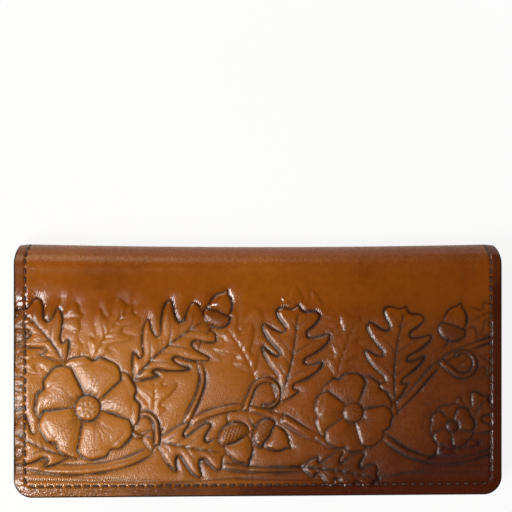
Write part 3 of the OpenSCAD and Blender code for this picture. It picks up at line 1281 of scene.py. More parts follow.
def press_wrinkles(leather: ToolingField) -> None:
    """Works the bark-like wrinkles into the strip outside the stitches, mostly on the left.

    Args:
        leather: the field that the pattern is pressed into.
    """
    shape = leather.height.shape
    x, s = np.meshgrid(leather.xs, leather.ss)
    ridges = unlike(shape, 4.0, 3, (1.2, 5.0)) * 0.65 + unlike(shape, 3.0, 4, (1.0, 1.5)) * 0.35
    rough = 0.15 * ridges + 0.06 * unlike(shape, 2.0, 5)
    inset = FORM.half - np.abs(x)
    strip = 1.0 - ease((inset - 3.1) / 0.9)
    low = 1.0 - ease((s - 3.0) / 0.9)
    left = strip * (x < 0) * ease((72.0 - s) / 5.0)
    right = strip * (x > 0) * 0.16 * ease((68.0 - s) / 8.0)
    foot = low * (0.08 + 0.24 * ease((-x - 10.0) / 50.0))
    amount = np.clip(left + right + foot, 0, 1)
    plain = 1.0 - 0.85 * np.maximum(strip * (x > 0), low)
    for layer in (leather.height, leather.antique_and_shade, leather.hatch):
        layer *= plain
    leather.height += amount * rough
    # Darker in the low parts of the wrinkles.
    cracks = np.clip(-ridges - 0.15, 0, 1) * 2.2
    leather.antique_and_shade = np.maximum(leather.antique_and_shade * (1 - 0.4 * amount), np.clip(amount * cracks, 0, 0.9))


def press_front() -> ToolingField:
    """Presses the whole pattern of the front, from the back forms to the front ones.

    Returns:
        The finished field.
    """
    leather = ToolingField()
    faint = dict(ink=0.14, crown=0.24)
    forms: list[OakLeaf | Acorn | WildRose | Stem] = [
        OakLeaf((-86, 2), 24, reach=25, width=10.5, curl=-0.15, lobes=3, **faint),
        OakLeaf((-84, 18), -8, reach=22, width=7.0, curl=0.2, lobes=3, **faint),
        OakLeaf((-22, 3), 44, reach=28, width=9.5, curl=-0.3, lobes=3, **faint),
        OakLeaf((30, 16), 168, reach=24, width=7.5, curl=-0.2, lobes=3, **faint),
        OakLeaf((-38, -18), 74, reach=20, width=7.5, curl=0.25, lobes=3, **faint),
        OakLeaf((-58, 3), 72, reach=23, width=8.0, curl=-0.3, lobes=3, **faint),
        OakLeaf((27, -4), 82, reach=24, width=8.5, curl=-0.2, lobes=3, **faint),
        OakLeaf((-2, -2), 108, reach=24, width=8.0, curl=0.25, lobes=3, **faint),
        OakLeaf((56, -8), 30, reach=22, width=7.0, curl=0.3, lobes=3, **faint),
        OakLeaf((86, 22), 196, reach=22, width=6.5, curl=0.25, lobes=3, ink=0.5, crown=0.26),
        OakLeaf((88, -2), 152, reach=23, width=7.0, curl=-0.2, lobes=3, ink=0.7, crown=0.28, hatch=0.6),
        Stem(((-88, -31), (-66, -34.5), (-44, -31), (-26, -19), (-8, -13), (8, -17)), 3.6, 1.8),
        Stem(((8, -17), (22, -24), (38, -22), (52, -10), (66, 4), (86, 12)), 3.0, 1.4),
        Stem(((-34, -24), (-14, -33), (10, -35), (32, -33)), 2.2, 1.0),
        Stem(((40, -21), (54, -30), (70, -32), (88, -27)), 2.4, 1.2),
        Stem(((-26, -19), (-20, -4), (-22, 8), (-16, 17)), 2.0, 0.9),
        OakLeaf((-44, -4), 58, reach=33, width=12.5, curl=-0.32, lobes=4, hatch=0.9),
        OakLeaf((-68, 2), 112, reach=24, width=9.5, curl=0.3, lobes=3, hatch=0.4),
        OakLeaf((-66, -30), 172, reach=23, width=8.5, curl=-0.3, lobes=3),
        OakLeaf((-42, -22), -24, reach=31, width=9.5, curl=0.2, lobes=4, hatch=0.5),
        OakLeaf((6, -12), 62, reach=34, width=12.0, curl=0.28, lobes=4, hatch=0.9),
        OakLeaf((48, -12), 100, reach=33, width=11.5, curl=-0.28, lobes=4, hatch=0.9),
        OakLeaf((62, -30), 34, reach=27, width=8.5, curl=0.25, lobes=4, hatch=0.6),
        OakLeaf((14, -34), -2, reach=28, width=7.5, curl=-0.12, lobes=4),
        tendril((-36, -26), 78, 5.6, 1.0),
        tendril((-5, -14), 84, 6.4, -1.0),
        tendril((64, 3), -52, 5.6, 1.0),
        tendril((20, -23), -50, 4.2, 1.0),
        WildRose((-60, -13), 12, radius=18.5),
        WildRose((33, -15), 40, radius=14.0),
        Acorn((-15, 19), 68, 0.85),
        Acorn((-9, -23), -64, 1.0),
        Acorn((2, -22), -30, 0.9),
        Acorn((68, 14), 72, 0.85),
        WildRose((68, -20), 100, radius=8.0),
    ]
    press_ground(leather)
    leather.hatch += 0.35 * ease(0.5 + unlike(leather.hatch.shape, 60.0, 8))
    for form in forms:
        form.press(leather)
    press_wrinkles(leather)
    shallow = 1.0 - 0.6 * ease((leather.xs + 10.0) / 70.0)
    leather.height = np.clip(leather.height * shallow, -1.0, 0.6)
    return leather


def new_group(name: str, inward: dict[str, float], outward: Sequence[str]) -> tuple[Desk, Node]:
    """Starts a shader node group.

    Args:
        name: the group's name.
        inward: its number inputs and their defaults.
        outward: its number outputs.

    Returns:
        A desk for the group, and its input node.
    """
    tree = bpy.data.node_groups.new(name, "ShaderNodeTree")
    for key, value in inward.items():
        socket = tree.interface.new_socket(name=key, in_out="INPUT", socket_type="NodeSocketFloat")
        socket.default_value = value
    for key in outward:
        tree.interface.new_socket(name=key, in_out="OUTPUT", socket_type="NodeSocketFloat")
    desk = Desk(tree)
    return desk, desk.add("NodeGroupInput")


def new_material(name: str) -> tuple[Material, Desk, Node]:
    """Starts a material, and gives it with its desk and its Principled BSDF."""
    material = bpy.data.materials.new(name)
    material.use_nodes = True
    return material, Desk(material.node_tree), material.node_tree.nodes["Principled BSDF"]


def grain_group() -> Tree:
    """Leather grain: pebbles, pores and soft mottling of the dye.

    Returns:
        The group.
    """
    inward = {"Grains per metre": 1500.0, "Mottling per metre": 40.0, "Pores": 0.5}
    desk, given = new_group("leather_grain", inward, ("Height", "Mottle", "Fine"))
    grains, mottling, pores = (given.outputs[key] for key in inward)
    place = desk.place()
    warp = desk.add("ShaderNodeTexNoise", {"Vector": place, "Scale": 300.0, "Detail": 2.0})
    shift = {0: warp.outputs["Color"], "Scale": 0.0016}
    bent = desk.add("ShaderNodeVectorMath", shift, operation="SCALE").outputs[0]
    moved = desk.add("ShaderNodeVectorMath", {0: place, 1: bent}, operation="ADD").outputs[0]
    cells = desk.add("ShaderNodeTexVoronoi", {"Vector": moved, "Scale": grains}, feature="SMOOTH_F1")
    pebble = desk.less(1.0, cells.outputs["Distance"])
    pits = desk.span(desk.noise(place, desk.times(grains, 1.9), 2.0), 0.62, 0.74)
    result = {
        "Height": desk.less(pebble, desk.times(pits, pores)),
        "Mottle": desk.noise(place, mottling, 4.0, 0.6),
        "Fine": desk.noise(place, desk.times(mottling, 14.0), 3.0, 0.65),
    }
    desk.add("NodeGroupOutput", result)
    return desk.tree


def edge_group() -> Tree:
    """Dyed and burnished cut edge: a mask that is 1 on the edge and runs unevenly over on to the face."""
    desk, given = new_group("dyed_edge", {"Raggedness": 0.35}, ("Mask",))
    uneven = desk.less(desk.noise(desk.place(), 700.0, 3.0, 0.6), 0.5)
    shifted = desk.plus(desk.attribute("rim"), desk.times(uneven, given.outputs[0]))
    desk.add("NodeGroupOutput", {"Mask": desk.span(shifted, 0.38, 0.72)})
    return desk.tree


GROUPS: dict[str, Tree] = {}


@dataclass(frozen=True)
class LeatherFinish:
    """One dyed leather: its colours, grain and gloss."""

    name: str
    light: Colour
    middle: Colour
    dark: Colour
    edge: Colour = (0.011, 0.007, 0.006)
    grains: float = 1500.0
    mottling: float = 40.0
    pores: float = 0.5
    bump: float = 0.25
    bump_reach: float = 0.0002
    rough: tuple[float, float] = (0.42, 0.58)
    specular: float = 0.4

    def start(self) -> tuple[Material, Desk, Node, Node]:
        """Starts the material.

        Returns:
            The material, its desk, the Principled BSDF and the grain group's node.
        """
        material, desk, shader = new_material(self.name)
        desk.feed(shader, {"Specular IOR Level": self.specular})
        amounts = {0: self.grains, 1: self.mottling, 2: self.pores}
        return material, desk, shader, desk.add("ShaderNodeGroup", amounts, node_tree=GROUPS["grain"])

    def tones(self, desk: Desk, grain: Node) -> Socket:
        """Dye colour that drifts between the dark, middle and light tones."""
        drift = desk.plus(desk.times(grain.outputs["Mottle"], 0.7), desk.times(grain.outputs["Fine"], 0.3))
        low = desk.blend(desk.span(drift, 0.34, 0.52), self.dark, self.middle)
        return desk.blend(desk.span(drift, 0.50, 0.70), low, self.light)

    def finish_off(
        self, desk: Desk, shader: Node, grain: Node, colour: Socket, height: Socket,
        polish: Socket | float = 1.0,
    ) -> None:
        """Adds the dyed edge, the gloss and the bump to a colour.

        Args:
            desk: the material's desk.
            shader: its Principled BSDF.
            grain: its grain group's node.
            colour: the colour of the face.
            height: the height of the fine relief.
            polish: factor on the roughness.
        """
        rim = desk.add("ShaderNodeGroup", node_tree=GROUPS["edge"]).outputs["Mask"]
        rough = desk.times(desk.span(grain.outputs["Fine"], 0.3, 0.7, self.rough), polish)
        surface = {
            "Base Color": desk.blend(rim, colour, self.edge),
            "Roughness": rough,
            "Normal": desk.bump(height, self.bump, self.bump_reach),
        }
        desk.feed(shader, surface)

    def make(self) -> Material:
        """Makes the plain leather."""
        material, desk, shader, grain = self.start()
        self.finish_off(desk, shader, grain, self.tones(desk, grain), grain.outputs["Height"])
        return material


@dataclass(frozen=True)
class TooledFinish(LeatherFinish):
    """Tooled leather with dark antique in its cuts and painted shade beside its raised forms, painted light
    on the left of its lower tooling, and a darker red towards one side and the open edge that is partly dye
    burnish and partly painted shade.
    """

    # Dark colour of the antique in the cuts and of the painted shade beside the raised forms and in the seam.
    antique_and_shade: Colour = (0.007, 0.003, 0.002)
    # Darker red, partly dye burnish and partly painted shade towards the right and the open edge.
    burnish_and_shade: Colour = (0.048, 0.006, 0.0008)
    # Lighter tan of the painted light on the left of the lower tooling.
    painted_light: Colour = (0.44, 0.165, 0.022)

    def burnish_and_shade_share(self, desk: Desk, x: Socket, y: Socket, open_edge: Socket) -> Socket:
        """Share of the darker red, partly dye burnish and partly painted shade: towards the right side, along
        the open edge and outside the seam.

        Args:
            desk: the material's desk.
            x: place along the fold, in metres.
            y: place across the cover, in metres.
            open_edge: mask of the strip at the open edge.

        Returns:
            The share.
        """
        # Partly painted shade: darker towards the right side, and more so lower down.
        side = desk.times(desk.span(x, -0.020, 0.078, (0.0, 0.70)), desk.span(y, 0.036, -0.004, (0.36, 1.0)))
        # Partly painted shade: darker towards the open edge, most on the right.
        foot = desk.times(desk.span(y, -0.016, -0.042, (0.0, 0.42)), desk.span(x, -0.09, 0.04, (0.12, 1.0)))
        low = desk.times(open_edge, desk.span(x, -0.05, 0.03, (0.05, 0.34)))
        outside = desk.plus(desk.span(x, -0.03, 0.07, (0.40, 0.55)), low)
        return desk.plus(desk.times(desk.attribute("strip"), outside), desk.plus(side, foot))

    def hatching(self, desk: Desk, burnish_and_shade_mask: Socket) -> Socket:
        """Height of the fine slanting strokes of the bevels, fainter where the burnish and the painted shade
        are strong.
        """
        strokes = desk.waves(desk.turned_place(0.35), 420.0, 1.2, 1.0)
        faded = desk.span(burnish_and_shade_mask, 0.1, 0.7, (2.0, 0.4))
        return desk.times(strokes, desk.times(desk.attribute("hatch"), faded))

    def polish(self, desk: Desk, worked: Socket, cut: Socket, open_edge: Socket) -> Socket:
        """Factor on the roughness: glossier on the smooth fold and at the open edge, duller in the cuts.

        Args:
            desk: the material's desk.
            worked: mask of the tooled leather.
            cut: mask of the antique in the cuts, with the painted shade beside the raised forms and in the
                seam.
            open_edge: mask of the strip at the open edge.

        Returns:
            The factor.
        """
        strip = desk.span(desk.attribute("strip"), 0.0, 1.0, (1.0, 1.05))
        face = desk.times(desk.span(worked, 0.0, 1.0, (0.54, 1.0)), strip)
        face = desk.times(face, desk.span(cut, 0.1, 0.8, (1.0, 1.25)))
        return desk.times(face, desk.less(1.0, desk.times(open_edge, 0.35)))

    def make(self) -> Material:
        """Makes the tooled leather."""
        material, desk, shader, grain = self.start()
        split = desk.add("ShaderNodeSeparateXYZ", {0: desk.place()})
        x, y = split.outputs["X"], split.outputs["Y"]
        open_edge = desk.span(y, -0.0365, -0.0405)
        worked, cut = desk.attribute("worked"), desk.attribute("antique_and_shade")
        # The darker red, partly dye burnish and partly painted shade.
        burnish_and_shade_mask = self.burnish_and_shade_share(desk, x, y, open_edge)
        patchy_burnish_and_shade = desk.times(burnish_and_shade_mask, desk.span(grain.outputs["Mottle"], 0.3, 0.7, (0.8, 1.2)))
        # Painted light: a lighter, brighter tan over the lower tooling, growing towards the left.
        painted_light_area = desk.times(worked, desk.span(y, 0.030, 0.005))
        painted_light = desk.times(painted_light_area, desk.span(x, 0.03, -0.06, (0.0, 0.75)))
        # The antique in the cuts, and painted shade beside the raised forms and in the seam's hollow and
        # holes.
        antique_and_shade_share = desk.times(cut, desk.span(grain.outputs["Fine"], 0.3, 0.6, (0.90, 1.0)))
        colour = desk.blend(painted_light, self.tones(desk, grain), self.painted_light)
        colour = desk.blend(desk.math("MINIMUM", patchy_burnish_and_shade, 0.95), colour, self.burnish_and_shade)
        colour = desk.blend(antique_and_shade_share, colour, self.antique_and_shade)
        pebbles = desk.times(grain.outputs["Height"], desk.span(worked, 0.0, 1.0, (0.5, 2.0)))
        height = desk.plus(pebbles, self.hatching(desk, burnish_and_shade_mask))
        self.finish_off(desk, shader, grain, colour, height, self.polish(desk, worked, cut, open_edge))
        return material


@dataclass(frozen=True)
class ThreadFinish:
    """Waxed thread with a visible twist."""

    name: str = "waxed_thread"
    colour: Colour = (0.030, 0.012, 0.008)
    light: Colour = (0.080, 0.034, 0.022)

    def make(self) -> Material:
        """Makes the thread's material."""
        material, desk, shader = new_material(self.name)
        twist = desk.waves(desk.turned_place(0.7), 620.0, 0.6)
        fluff = desk.noise(desk.place(), 2600.0, 3.0)
        shown = desk.times(twist, desk.span(fluff, 0.3, 0.7, (0.4, 1.0)))
        surface = {
            "Base Color": desk.blend(shown, self.colour, self.light),
            "Roughness": desk.span(fluff, 0.2, 0.8, (0.55, 0.75)),
            "Normal": desk.bump(twist, 0.6, 0.00012),
        }
        desk.feed(shader, surface)
        return material


@dataclass(frozen=True)
class VinylFinish:
    """Clear flexible sheet with faint haze, waves and scuffs."""

    name: str = "clear_vinyl"
    colour: Colour = (0.62, 0.66, 0.68)

    def make(self) -> Material:
        """Makes the clear sheet's material."""
        material, desk, shader = new_material(self.name)
        haze = desk.noise(desk.place(), 45.0, 1.0, 0.4)
        scuff = desk.noise(desk.turned_place(0.5, (1.0, 9.0, 1.0)), 160.0, 5.0, 0.7)
        surface = {
            "Base Color": desk.blend(haze, self.colour, tuple(0.93 * c for c in self.colour)),
            "Roughness": desk.span(scuff, 0.35, 0.75, (0.06, 0.16)),
            "Alpha": desk.span(scuff, 0.3, 0.8, (0.07, 0.11)),
            "Normal": desk.bump(haze, 0.10, 0.0006),
            "Specular IOR Level": 0.6,
        }
        desk.feed(shader, surface)
        material.surface_render_method = "BLENDED"
        return material


@dataclass
class OuterLeather:
    """The long outer leather: tooled front, smooth fold and plain rear."""

    finish: Material
    round_over: float = 0.6
    relief_step: float = 0.42
    plain_step: float = 2.4
    fold_step: float = 3.84
    pressed_width: float = 3.4
    pressed_slope: float = 0.11
    rim_end: float = 1.3
    seam_end: float = 11.5
    relief_end: float = 77.0
    plain_start: float = 77.6
    rim_insets: tuple[float, ...] = (0.0, 0.05, 0.14, 0.27, 0.44, 0.65, 0.95)
    seam_insets: tuple[float, ...] = (
        *(1.5, 2.0, 2.5, 3.0, 3.3, 3.55, 3.8, 4.0),
        *(4.2, 4.45, 4.7, 5.0, 5.4, 6.0, 7.0, 9.0),
    )

    def rim_fall(self, inset: Array) -> Array:
        """Height of the face near the cut: rounded down at the edge, and pressed outside the seam.

        Args:
            inset: distance of each point from the cut.

        Returns:
            The heights, zero or less.
        """
        r = self.round_over
        t = np.clip(r - inset, 0.0, r)
        pressed = np.clip(self.pressed_width - inset, 0.0, self.pressed_width)
        return -(r - np.sqrt(r * r - t * t)) * 0.9 - self.pressed_slope * pressed

    def columns(self, front: bool) -> Array:
        """Columns of the sheet as insets from the sides, negative on the left."""
        if front:
            return both_sides(graded(self.rim_insets, (self.rim_end, FORM.half), self.relief_step))
        insets = self.rim_insets + self.seam_insets
        return both_sides(graded(insets, (self.seam_end, FORM.half), self.fold_step))

    def rows(self, zone: Zone) -> Array:
        """Rows of the sheet as places along the leather.

        Args:
            zone: the length of the leather.

        Returns:
            The rows from the front to the rear.
        """
        ends = np.array([0.0, 0.04, 0.14])
        if zone.name == "front":
            plain = np.linspace(self.plain_start, FORM.panel, 4)
            turn = np.linspace(FORM.panel, zone.end, 7)[1:]
            worked = graded(self.rim_insets, (self.rim_end, self.relief_end), self.relief_step)
            return np.unique(np.r_[worked, plain, turn, zone.end - ends[1:]])
        if zone.name == "rear":
            edge = graded(self.rim_insets + self.seam_insets, (self.seam_end, FORM.panel), self.plain_step)
            turn = np.linspace(zone.start, FORM.total - FORM.panel, 7)[:-1]
            return np.unique(np.r_[turn, zone.start + ends[1:], FORM.total - edge])
        return np.unique(np.r_[np.linspace(zone.start, zone.end, 17), zone.start + ends, zone.end - ends])

    def build(self, leather: ToolingField) -> None:
        """Builds the five lengths, and attaches each one that moves with a single body to that body.

        Args:
            leather: the pressed pattern of the front.
        """
        for zone in leather_zones():
            rows, columns = self.rows(zone), self.columns(zone.name == "front")
            x = sheet_x(columns, rows)
            s = np.broadcast_to(rows[:, None], x.shape)
            inset = FORM.rim_distance(x, s)
            pulled, antique_and_shade = SEAM.pull(x, s)
            height = self.rim_fall(inset) + pulled
            hatch = np.zeros(x.shape)
            if zone.name == "front":
                height += leather.sample(leather.height, x, s) * ease(inset / 0.8)
                antique_and_shade = np.maximum(antique_and_shade, leather.sample(leather.antique_and_shade, x, s))
                hatch = leather.sample(leather.hatch, x, s)
            masks = {
                "antique_and_shade": antique_and_shade,
                "hatch": hatch,
                "worked": 1.0 - ease((s - 58.0) / 10.0) * (1.0 - ease((s - 76.0) / 7.0)),
                "strip": 1.0 - ease((inset - 3.0) / 1.2),
                "rim": 1.0 - ease((inset - 0.32) / 0.5),
            }
            name, under = f"{zone.name}_leather", -FORM.leather + HAIR
            piece = wrapped_sheet(name, columns, rows, height, under, self.finish, "outer_leather", masks)
            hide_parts(*zone.nodes("cover"))
            zone.attach(piece)


@dataclass
class Lining:
    """The thin lining glued inside the outer leather."""

    finish: Material
    insets: tuple[float, ...] = (0.0, 0.1, 0.25, 0.5, 1.0, 2.5, 3.4, 4.0, 4.6, 6.0, 9.0)
    rim_end: float = 12.0

    def rows(self, zone: Zone) -> Array:
        """Rows of the sheet as places along the lining.

        Args:
            zone: the length of the lining.

        Returns:
            The rows from the front to the rear.
        """
        if zone.name == "front":
            return np.unique(np.r_[self.insets, np.linspace(self.rim_end, zone.end, 24)])
        if zone.name == "rear":
            plain = np.linspace(zone.start, FORM.total - self.rim_end, 24)
            return np.unique(np.r_[plain, FORM.total - np.array(self.insets)])
        return np.linspace(zone.start, zone.end, 26)

    def build(self) -> None:
        """Builds the five lengths, each facing the inside of the cover."""
        columns = both_sides(graded(self.insets, (self.rim_end, FORM.half), 5.0))
        for zone in lining_zones():
            rows = self.rows(zone)
            x = sheet_x(columns, rows)
            inset = FORM.rim_distance(x, np.broadcast_to(rows[:, None], x.shape))
            face, under = np.full(x.shape, -FORM.leather - HAIR), -FORM.leather - FORM.lining
            masks = {"rim": 1.0 - ease((inset - 0.1) / 0.4)}
            name = f"{zone.name}_lining_leather"
            piece = wrapped_sheet(name, columns, rows, face, under, self.finish, "lining_leather", masks)
            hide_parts(*zone.nodes("lining"))
            zone.attach(piece)


@dataclass(frozen=True)
class InnerForm:
    """Sizes of the inside pieces in millimetres: heights are measured from the outside of their own half."""

    mouth: float = 24.0
    lined: float = 2.4
    pocket: float = 0.9
    gap: float = 0.6
    seam: float = 7.0
    card: float = 0.6
    card_gap: float = 0.5
    frame: float = 0.7
    frame_gap: float = 0.8
    slots_end: float = 14.25
    cards_end: float = 9.25
    first_mouth: float = 22.0
    mouth_step: float = 8.0
    raise_width: float = 1.1

    @property
    def sewn(self) -> float:
        """Height of a pocket's face on its sewn border."""
        return self.lined + self.pocket

    def slot_mouth(self, i: int) -> float:
        """Y of a card slot's mouth."""
        return self.first_mouth - self.mouth_step * i

    def raised(self, inset: Array, seam: float) -> Array:
        """How far a sheet has risen over its slot, from 0 on its seam to 1, at a distance from the edge."""
        return ease((inset - seam + 0.2) / self.raise_width)

    def border(self, x: Array, y: Array) -> Array:
        """Height of the topmost layer along the sewn rim."""
        top = np.where(y < self.mouth, self.sewn, self.lined)
        for i, t in enumerate((self.card, self.card, self.frame)):
            top = top + np.where((x < self.slots_end) & (y < self.slot_mouth(i)), t, 0.0)
        return top


INNER = InnerForm()


def arc_points(centre: Point, r: float, start: float, end: float, count: int = 10) -> Array:
    """Points on an arc between two angles in degrees."""
    return np.array(centre) + r * on_circle(np.radians(np.linspace(start, end, count)))


def spaced(line: Array, step: float) -> Array:
    """A closed outline with points at most one step apart.

    Args:
        line: the corners of the outline, in order.
        step: the greatest distance between two points.

    Returns:
        The points, one row each.
    """
    parts = []
    for a, b in zip(line, np.roll(line, -1, axis=0)):
        count = max(int(math.ceil(np.hypot(*(b - a)) / step)), 1)
        parts.append(a + (b - a) * (np.arange(count) / count)[:, None])
    return np.vstack(parts)


def sewn_outline(mouth: Array, right: float | None = None) -> Array:
    """Outline of a piece that is sewn along the cover's edges up to its mouth.

    Args:
        mouth: points of the mouth, from right to left.
        right: x of its right side, where that isn't the cover's own side.

    Returns:
        The closed outline, anticlockwise.
    """
    r, w, low = FORM.corner, FORM.half, FORM.open_y
    left_corner = arc_points((-w + r, low + r), r, 180, 270)
    if right is None:
        right_corner = arc_points((w - r, low + r), r, 270, 360)
    else:
        right_corner = np.array([[right, low]])
    return np.vstack([left_corner, right_corner, mouth])


def sewn_inset(x: Array, y: Array) -> Array:
    """Distance from the cover's sewn sides, for a point of a flat half."""
    return FORM.rim_distance(x, y - FORM.open_y)


def inward_distance(loops: Sequence[Array], points: Array) -> Array:
    """Distance from a sheet's nearest cut edge, negative outside it.

    Args:
        loops: the outline first, then those of the holes.
        points: any number of points, one row each.

    Returns:
        One distance for each point.
    """
    d = -outline_distance(loops[0], points)
    for hole in loops[1:]:
        d = np.minimum(d, outline_distance(hole, points))
    return d


def sheet_points(loops: Sequence[Array], insets: Sequence[float], step: float, pitch: float = 1.6) -> Array:
    """Points inside a flat sheet: an even grid, rows along its cut edges and rows along the cover's sides.

    Args:
        loops: the outline first, then those of the holes.
        insets: distances from the cover's sides of the rows that are wanted there.
        step: distance between the points of the grid.
        pitch: distance between the points of a row along a side.

    Returns:
        The points, one row each.
    """
    low, high = loops[0].min(0), loops[0].max(0)
    grid = np.stack(np.meshgrid(*(np.arange(a, b, step) for a, b in zip(low, high))), -1).reshape(-1, 2)
    rows = [grid + step * 0.37]
    for loop in loops:
        ahead = np.roll(loop, -1, axis=0) - np.roll(loop, 1, axis=0)
        normal = np.stack([-ahead[:, 1], ahead[:, 0]], -1) / np.linalg.norm(ahead, axis=1)[:, None]
        for inset in (0.10, 0.26, 0.6, 1.3):
            rows += [loop + normal * inset, loop - normal * inset]
    for inset in insets:
        x = np.arange(-FORM.half + inset, FORM.half - inset, pitch)
        y = np.arange(FORM.open_y + inset, high[1], pitch)
        rows += [np.stack([x, np.full(x.shape, FORM.open_y + inset)], -1)]
        rows += [np.stack([np.full(y.shape, side * (FORM.half - inset)), y], -1) for side in (-1, 1)]
    inner = np.vstack(rows)
    inner = inner[inward_distance(loops, inner) > 0.07]
    return inner[np.unique(np.round(inner / 0.06).astype(int), axis=0, return_index=True)[1]]


def sheet_triangles(loops: Sequence[Array], inner: Array) -> tuple[Array, Array]:
    """Divides a flat sheet into triangles.

    Args:
        loops: the outline first, then those of the holes.
        inner: points inside the sheet.

    Returns:
        The points in use, and the triangles as point numbers, all anticlockwise.
    """
    edges, first = [], 0
    for loop in loops:
        k = np.arange(len(loop))
        edges += [(int(first + a), int(first + b)) for a, b in zip(k, np.roll(k, -1))]
        first += len(loop)
    flat = [Vector(p) for p in np.vstack([*loops, inner])]
    points, _, triangles, *_ = geometry.delaunay_2d_cdt(flat, edges, [], 1, 1e-5)
    flat = np.array([tuple(p) for p in points])
    tri = np.array([tuple(t) for t in triangles])
    tri = tri[inward_distance(loops, flat[tri].mean(1)) > 0]
    a, b, c = (flat[tri[:, k]] for k in range(3))
    turn = (b[:, 0] - a[:, 0]) * (c[:, 1] - a[:, 1]) - (b[:, 1] - a[:, 1]) * (c[:, 0] - a[:, 0])
    tri = np.where((turn > 0)[:, None], tri, tri[:, ::-1])[np.abs(turn) > 1e-9]
    used, tri = np.unique(tri, return_inverse=True)
    return flat[used], tri.reshape(-1, 3)


def cut_sheet(
    name: str, half: Half, outline: Array, top: HeightAt, under: HeightAt, finish: Material,
    slot: str, holes: Sequence[Array] = (), insets: Sequence[float] = (), round_over: float = 0.22,
) -> Piece:
    """Makes a closed sheet from its flat outline.

    Args:
        name: the piece's name.
        half: the half that it is sewn to.
        outline: its outline in x and y, anticlockwise.
        top: height of its face at x and y.
        under: height of its back at x and y.
        finish: its material.
        slot: its material slot; not used.
        holes: outlines of its openings.
        insets: distances from the cover's sides at which its face changes height.
        round_over: rounding of its cut edges.

    Returns:
        The new object.
    """
    loops = [spaced(outline, 1.6)] + [spaced(h, 1.2) for h in holes]
    flat, tri = sheet_triangles(loops, sheet_points(loops, insets, 3.0))
    count = len(flat)
    x, y = flat[:, 0], flat[:, 1]
    inset = np.clip(inward_distance(loops, flat), 0, None)
    rounding = 1 - (1 - np.clip(inset / round_over, 0, 1)) ** 2
    fall = round_over * (1 - np.sqrt(np.clip(rounding, 0, 1)))
    upper, lower = top(x, y) - 0.8 * fall, under(x, y)
    upper = np.maximum(upper, lower + 0.08)
    directed = {(int(p), int(q)) for t in tri for p, q in ((t[0], t[1]), (t[1], t[2]), (t[2], t[0]))}
    border = [(p, q) for p, q in directed if (q, p) not in directed]
    faces = [t for t in tri] + [t[::-1] + count for t in tri]
    faces += [np.array([q, p, p + count, q + count]) for p, q in border]
    z = np.r_[upper, lower]
    if half is Half.FRONT:
        z, faces = FORM.thickness - z, [f[::-1] for f in faces]
    body = np.stack([np.r_[x, x], np.r_[y, y], z], -1)
    rim = 1.0 - ease((inset - 0.05) / 0.35)
    return new_piece(name, body, faces, finish, {"rim": np.r_[rim, rim]})


def pocket_top(x: Array, y: Array) -> Array:
    """Face of a pocket: flat on its sewn border, raised over its slot, and creased along its mouth."""
    crease = 0.10 * bell(INNER.mouth - 2.2 - y, 0.35)
    return INNER.sewn + INNER.gap * INNER.raised(sewn_inset(x, y), INNER.seam) - crease


def pocket_under(x: Array, y: Array) -> Array:
    """Back of a pocket."""
    return INNER.lined + INNER.gap * INNER.raised(sewn_inset(x, y), INNER.seam) + HAIR


@dataclass
class Pockets:
    """The check pocket on the rear half and the register pocket with its thumb notch on the front half."""

    finish: Material
    insets: tuple[float, ...] = (6.7, 7.0, 7.3, 7.6, 7.95)
    notch: Triple = (46.0, 47.0, 28.0)

    def mouth(self, notched: bool) -> Array:
        """Points of a mouth from right to left.

        Args:
            notched: whether it has the thumb notch.

        Returns:
            The points, one row each.
        """
        right, left = (FORM.half, INNER.mouth), (-FORM.half, INNER.mouth)
        if not notched:
            return np.array([right, left])
        cx, cy, r = self.notch
        reach = math.degrees(math.acos((cy - INNER.mouth) / r))
        notch = arc_points((cx, cy), r, 270 + reach, 270 - reach, 25)
        return np.vstack([[right], notch, [left]])

    def build(self) -> None:
        """Builds both pockets."""
        pockets = (("check_pocket", Half.REAR, False), ("register_pocket", Half.FRONT, True))
        for name, half, notched in pockets:
            outline = sewn_outline(self.mouth(notched))
            sheet = (outline, pocket_top, pocket_under, self.finish, "pocket_leather")
            piece = cut_sheet(f"{name}_leather", half, *sheet, insets=self.insets)
            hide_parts(name)
            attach(piece, half.value)


